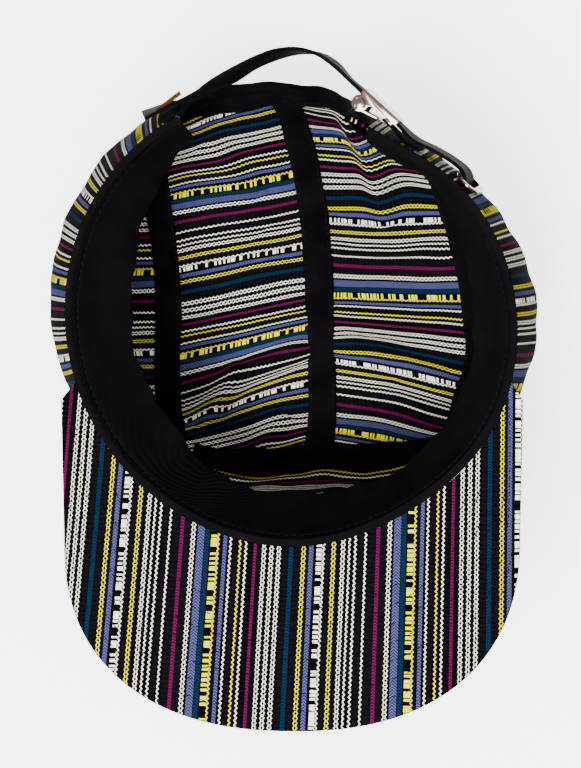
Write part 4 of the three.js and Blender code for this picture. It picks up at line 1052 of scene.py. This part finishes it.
def ribbon(name, upper, lower, thickness, steps):
    """A flat strip between two rows of points, its edges rounded."""
    t = np.linspace(0, 1, steps)
    top, bottom = through(upper, t), through(lower, t)
    ahead = np.gradient(top + bottom, axis=0)
    ahead[:, 2] = 0
    ahead /= np.linalg.norm(ahead, axis=1, keepdims=True)
    outward = np.stack([-ahead[:, 1], ahead[:, 0], 0 * t], 1)
    width = np.linalg.norm(np.array(upper[0]) - np.array(lower[0]))
    corner = thickness / 2
    turned = np.radians(np.linspace(0, 90, 5))
    rounding = corner * (1 - np.cos(turned)) / width
    shares = np.concatenate([rounding, np.linspace(0.1, 0.9, 9), 1 - rounding[::-1]])
    thick = np.concatenate([np.sin(turned), np.ones(9), np.sin(turned[::-1])])
    thick = thick * corner
    edges = [top + (bottom - top) * share for share in shares]
    outer = [edge + outward * size for edge, size in zip(edges, thick)]
    inner = [edge - outward * size for edge, size in zip(edges, thick)]
    run = np.cumsum(np.r_[0, np.linalg.norm(np.diff(top, axis=0), axis=1)])
    chart = np.stack([np.stack([run, 0 * t + share * width], 1) for share in shares], axis=1)
    rings = np.stack(outer + inner[::-1], axis=1)
    return loft(name, rings, np.concatenate([chart, chart[:, ::-1]], axis=1))


def leather(name, face, edge, roughness, grain):
    """Grained leather: small flat cells with creases between them, dressed to a dull sheen.
    face is its colour and edge that of its worn spots; grain is the size of a cell in metres."""
    material, tree = new_material(name)
    where = node(tree, "ShaderNodeTexCoord").outputs["Object"]
    grained = {"Vector": where, "Scale": 1 / grain}
    cells = node(tree, "ShaderNodeTexVoronoi", grained, feature="DISTANCE_TO_EDGE")
    creases = node(tree, "ShaderNodeMapRange", [cells, 0.0, 0.12, 0, 1])
    wear = node(tree, "ShaderNodeTexNoise", {"Vector": where, "Scale": 140.0, "Detail": 5.0})
    worn = node(tree, "ShaderNodeMapRange", [wear, 0.4, 0.7, 0, 1])
    colour = node(tree, "ShaderNodeMix", {0: worn, 6: linear(face), 7: linear(edge)}, data_type="RGBA")
    gloss = node(tree, "ShaderNodeMapRange", [wear, 0.3, 0.7, roughness - 0.06, roughness + 0.08])
    relief = node(tree, "ShaderNodeBump", {"Strength": 0.35, "Distance": 0.00012, "Height": creases})
    hide = node(tree, "ShaderNodeBsdfPrincipled", {
        "Base Color": colour.outputs[2], "Roughness": gloss, "Normal": relief,
        "IOR": 1.1, "Specular IOR Level": 0.1,  # a waxed hide mirrors little of the lit table
    })
    node(tree, "ShaderNodeOutputMaterial", {"Surface": hide})
    return material


def strap_edges():
    """The strap's upper and lower edge, from its left end through the clip to the eyelet."""
    upper = [(x, y, STRAP_TOP) for (x, y), _ in STRAP]
    lower = [(x, y, STRAP_TOP - STRAP_WIDTH) for _, (x, y) in STRAP]
    for along in CLIP_STATIONS:
        upper.append(clip_point(along, CLIP_OUT, STRAP_WIDTH / 2))
        lower.append(clip_point(along, CLIP_OUT, -STRAP_WIDTH / 2))
    for azimuth, out, sink in TAIL:
        upper.append(wall_point(azimuth, STRAP_TOP - sink, out))
        lower.append(wall_point(azimuth, STRAP_TOP - STRAP_WIDTH - sink, out))
    return upper, lower


BLACK_LEATHER = leather("black_grained_leather", "#060606", "#0E0E0F", 0.5, 0.0008)
strap = ribbon("strap_leather", *strap_edges(), STRAP_THICKNESS, 240)
fit(strap, BLACK_LEATHER, "black_leather", "strap")

# Buckle tab. A short fold of black cotton tape under the clip's end, sewn to the side panel. It
# holds the clip's frame to the arch's right corner.
TAB_AT_CLIP = ((10.5, 0.9), (14, 1.0))  # how far along the clip and out of it, mm
TAB_ON_WALL = ((144.5, 0.6), (140, 1.4))  # azimuths, and how far it has come down there, mm
TAB_INSET = 1.0  # it is this much narrower than the strap at either edge, mm
TAB_OFF_WALL = 1.2


def tab_edges():
    """The tab's upper and lower edge, from the clip to the wall."""
    half = STRAP_WIDTH / 2 - TAB_INSET
    middle = STRAP_TOP - STRAP_WIDTH / 2
    upper = [clip_point(along, out, half) for along, out in TAB_AT_CLIP]
    lower = [clip_point(along, out, -half) for along, out in TAB_AT_CLIP]
    for azimuth, sink in TAB_ON_WALL:
        upper.append(wall_point(azimuth, middle + half - sink, TAB_OFF_WALL))
        lower.append(wall_point(azimuth, middle - half - sink, TAB_OFF_WALL))
    return upper, lower


tab = ribbon("buckle_tab_cotton", *tab_edges(), TAPE_THICKNESS, 40)
fit(tab, COTTON_TAPE, "black_cotton", "buckle_tab")

# Strap label. A blank piece of brown leather sewn on over the strap's left end, where it hides how
# the strap is fixed. Its free corner lifts off the strap.
LABEL_THICKNESS = 1.4
# Along its upper edge: x, y and how far it stands off the strap, mm.
LABEL_ROWS = [(-52.4, 74.6, 1.6), (-49.4, 76.2, 1.8), (-46.2, 78.0, 2.3), (-42.8, 79.8, 2.9)]


LABEL_OUTWARD = (-0.42, 0.9)  # the way it lifts, in plan
LABEL_LEAN = (-1.2, 2.4)  # its lower edge lies further out by this, mm
LABEL_TOP = STRAP_TOP - 2
LABEL_FOOT = STRAP_TOP - STRAP_WIDTH - 1


def label_edges():
    """The label's upper and lower edge, from its sewn end to its free one."""
    (out_x, out_y), (lean_x, lean_y) = LABEL_OUTWARD, LABEL_LEAN
    upper = [(x + out_x * out, y + out_y * out, LABEL_TOP) for x, y, out in LABEL_ROWS]
    lower = [
        (x + lean_x + out_x * out, y + lean_y + out_y * out, LABEL_FOOT) for x, y, out in LABEL_ROWS]
    return upper, lower


BROWN_LEATHER = leather("brown_vegetable_tanned_leather", "#43230D", "#5C3514", 0.55, 0.0006)
label = ribbon("strap_label_leather", *label_edges(), LABEL_THICKNESS, 40)
fit(label, BROWN_LEATHER, "brown_leather", "strap_label")

# Clip and eyelet. Stamped and plated metal: a frame with a lever on a pin, and a slotted eyelet
# riveted through the side panel for the strap's end.


def plated_nickel():
    """Nickel plate over stamped steel: warm grey and polished, so that it mirrors what is round it."""
    material, tree = new_material("plated_nickel")
    where = node(tree, "ShaderNodeTexCoord").outputs["Object"]
    smear = node(tree, "ShaderNodeTexNoise", {"Vector": where, "Scale": 320.0, "Detail": 3.0})
    gloss = node(tree, "ShaderNodeMapRange", [smear, 0.3, 0.7, 0.09, 0.17])
    dull, bright = linear("#584D44"), linear("#6C6056")
    colour = node(tree, "ShaderNodeMix", {0: smear, 6: dull, 7: bright}, data_type="RGBA")
    relief = node(tree, "ShaderNodeBump", {"Strength": 0.15, "Distance": 0.0001, "Height": smear})
    metal = node(tree, "ShaderNodeBsdfPrincipled", {
        "Base Color": colour.outputs[2], "Metallic": 1.0, "Roughness": gloss, "Normal": relief})
    node(tree, "ShaderNodeOutputMaterial", {"Surface": metal})
    return material


def stamped(node_name, round_over):
    """A metal piece with its stamped edges rounded over, from the solid of that name."""
    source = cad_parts[node_name].data
    shape = bmesh.new()
    shape.from_mesh(source)
    bmesh.ops.remove_doubles(shape, verts=shape.verts, dist=2e-6)
    bmesh.ops.dissolve_limit(shape, angle_limit=math.radians(2), verts=shape.verts, edges=shape.edges)
    mesh = bpy.data.meshes.new(node_name + "_plated")
    shape.to_mesh(mesh)
    shape.free()
    piece = bpy.data.objects.new(node_name + "_plated", mesh)
    bpy.context.collection.objects.link(piece)
    bevel = piece.modifiers.new("rounded", "BEVEL")
    bevel.width = round_over * MM
    bevel.segments = 3
    bevel.limit_method = "ANGLE"
    bevel.angle_limit = math.radians(35)
    evaluated = piece.evaluated_get(bpy.context.evaluated_depsgraph_get())
    rounded = bpy.data.meshes.new_from_object(evaluated)
    piece.modifiers.clear()
    piece.data = rounded
    rounded.shade_smooth()
    rounded.set_sharp_from_angle(angle=math.radians(40))
    return piece


PLATED_NICKEL = plated_nickel()
# How far each metal piece's stamped edges are rounded over, in mm.
ROUNDED_EDGES = {"buckle_frame": 0.22, "buckle_lever": 0.12, "buckle_pin": 0.15, "slot_eyelet": 0.25}
for metal_node, round_over in ROUNDED_EDGES.items():
    fit(stamped(metal_node, round_over), PLATED_NICKEL, "nickel", metal_node)

# Setting. The cap stands on a lit white table that leaves no shadow. A grey bench round the table
# keeps its light off the cap's sides, and wide, soft lamps stand above.
TABLE_HALF = (0.155, 0.20)  # m
BENCH_HALF = (4.0, 4.0)
BENCH_DROP = 0.004  # the bench's top lies this much lower than the table's
# Each lamp's place and side in metres, and its power in watts.
LAMPS = {
    "overhead": ((-0.35, -0.75, 2.1), 0.8, 115),
    "left": ((-1.6, -0.9, 1.4), 1.4, 14),
    "right": ((1.5, -0.4, 1.2), 1.2, 10),
}
ROOM_GLOW = (0.15, 1.6)  # how brightly the room shines at the horizon and overhead


def light_table():
    """Matt white acrylic lit from behind, as on a light table."""
    material, tree = new_material("lit_white_acrylic")
    paint = node(tree, "ShaderNodeBsdfPrincipled", {
        "Base Color": linear("#FAFAF8"), "Roughness": 0.8,
        "Emission Color": linear("#FFFFFF"), "Emission Strength": 2.4})
    node(tree, "ShaderNodeOutputMaterial", {"Surface": paint})
    return material


def grey_bench():
    """Matt grey paint round the light table, which keeps stray light off the cap's sides."""
    material, tree = new_material("matt_grey_paint")
    paint = node(tree, "ShaderNodeBsdfPrincipled", {"Base Color": linear("#6E6E6E"), "Roughness": 0.9})
    node(tree, "ShaderNodeOutputMaterial", {"Surface": paint})
    return material


def studio():
    """The table, the bench round it, the lamps and the room's own light."""
    for name, (wide, deep), height, surface in (
            ("light_table", TABLE_HALF, 0, light_table()),
            ("bench", BENCH_HALF, -BENCH_DROP, grey_bench())):
        corners = [
            (-wide, -deep, height), (wide, -deep, height), (wide, deep, height), (-wide, deep, height)]
        mesh = bpy.data.meshes.new(name)
        mesh.from_pydata(corners, [], [(0, 1, 2, 3)])
        mesh.materials.append(surface)
        flat_surface = bpy.data.objects.new(name, mesh)
        bpy.context.collection.objects.link(flat_surface)
    for name, (place, size, power) in LAMPS.items():
        data = bpy.data.lights.new(name, "AREA")
        data.size = size
        data.energy = power
        light = bpy.data.objects.new(name, data)
        light.location = place
        light.rotation_euler = (Vector((0, 0, 0.05)) - Vector(place)).to_track_quat("-Z", "Y").to_euler()
        bpy.context.collection.objects.link(light)
    world = bpy.data.worlds.new("soft_box")
    bpy.context.scene.world = world
    world.use_nodes = True
    tree = world.node_tree
    tree.nodes.clear()
    way = node(tree, "ShaderNodeTexCoord")
    split = node(tree, "ShaderNodeSeparateXYZ", [way.outputs["Generated"]])
    glow = node(tree, "ShaderNodeMapRange", [split.outputs["Z"], 0.0, 0.8, *ROOM_GLOW])
    sky = node(tree, "ShaderNodeBackground", {"Color": linear("#FFFFFF"), "Strength": glow})
    node(tree, "ShaderNodeOutputWorld", {"Surface": sky})


studio()
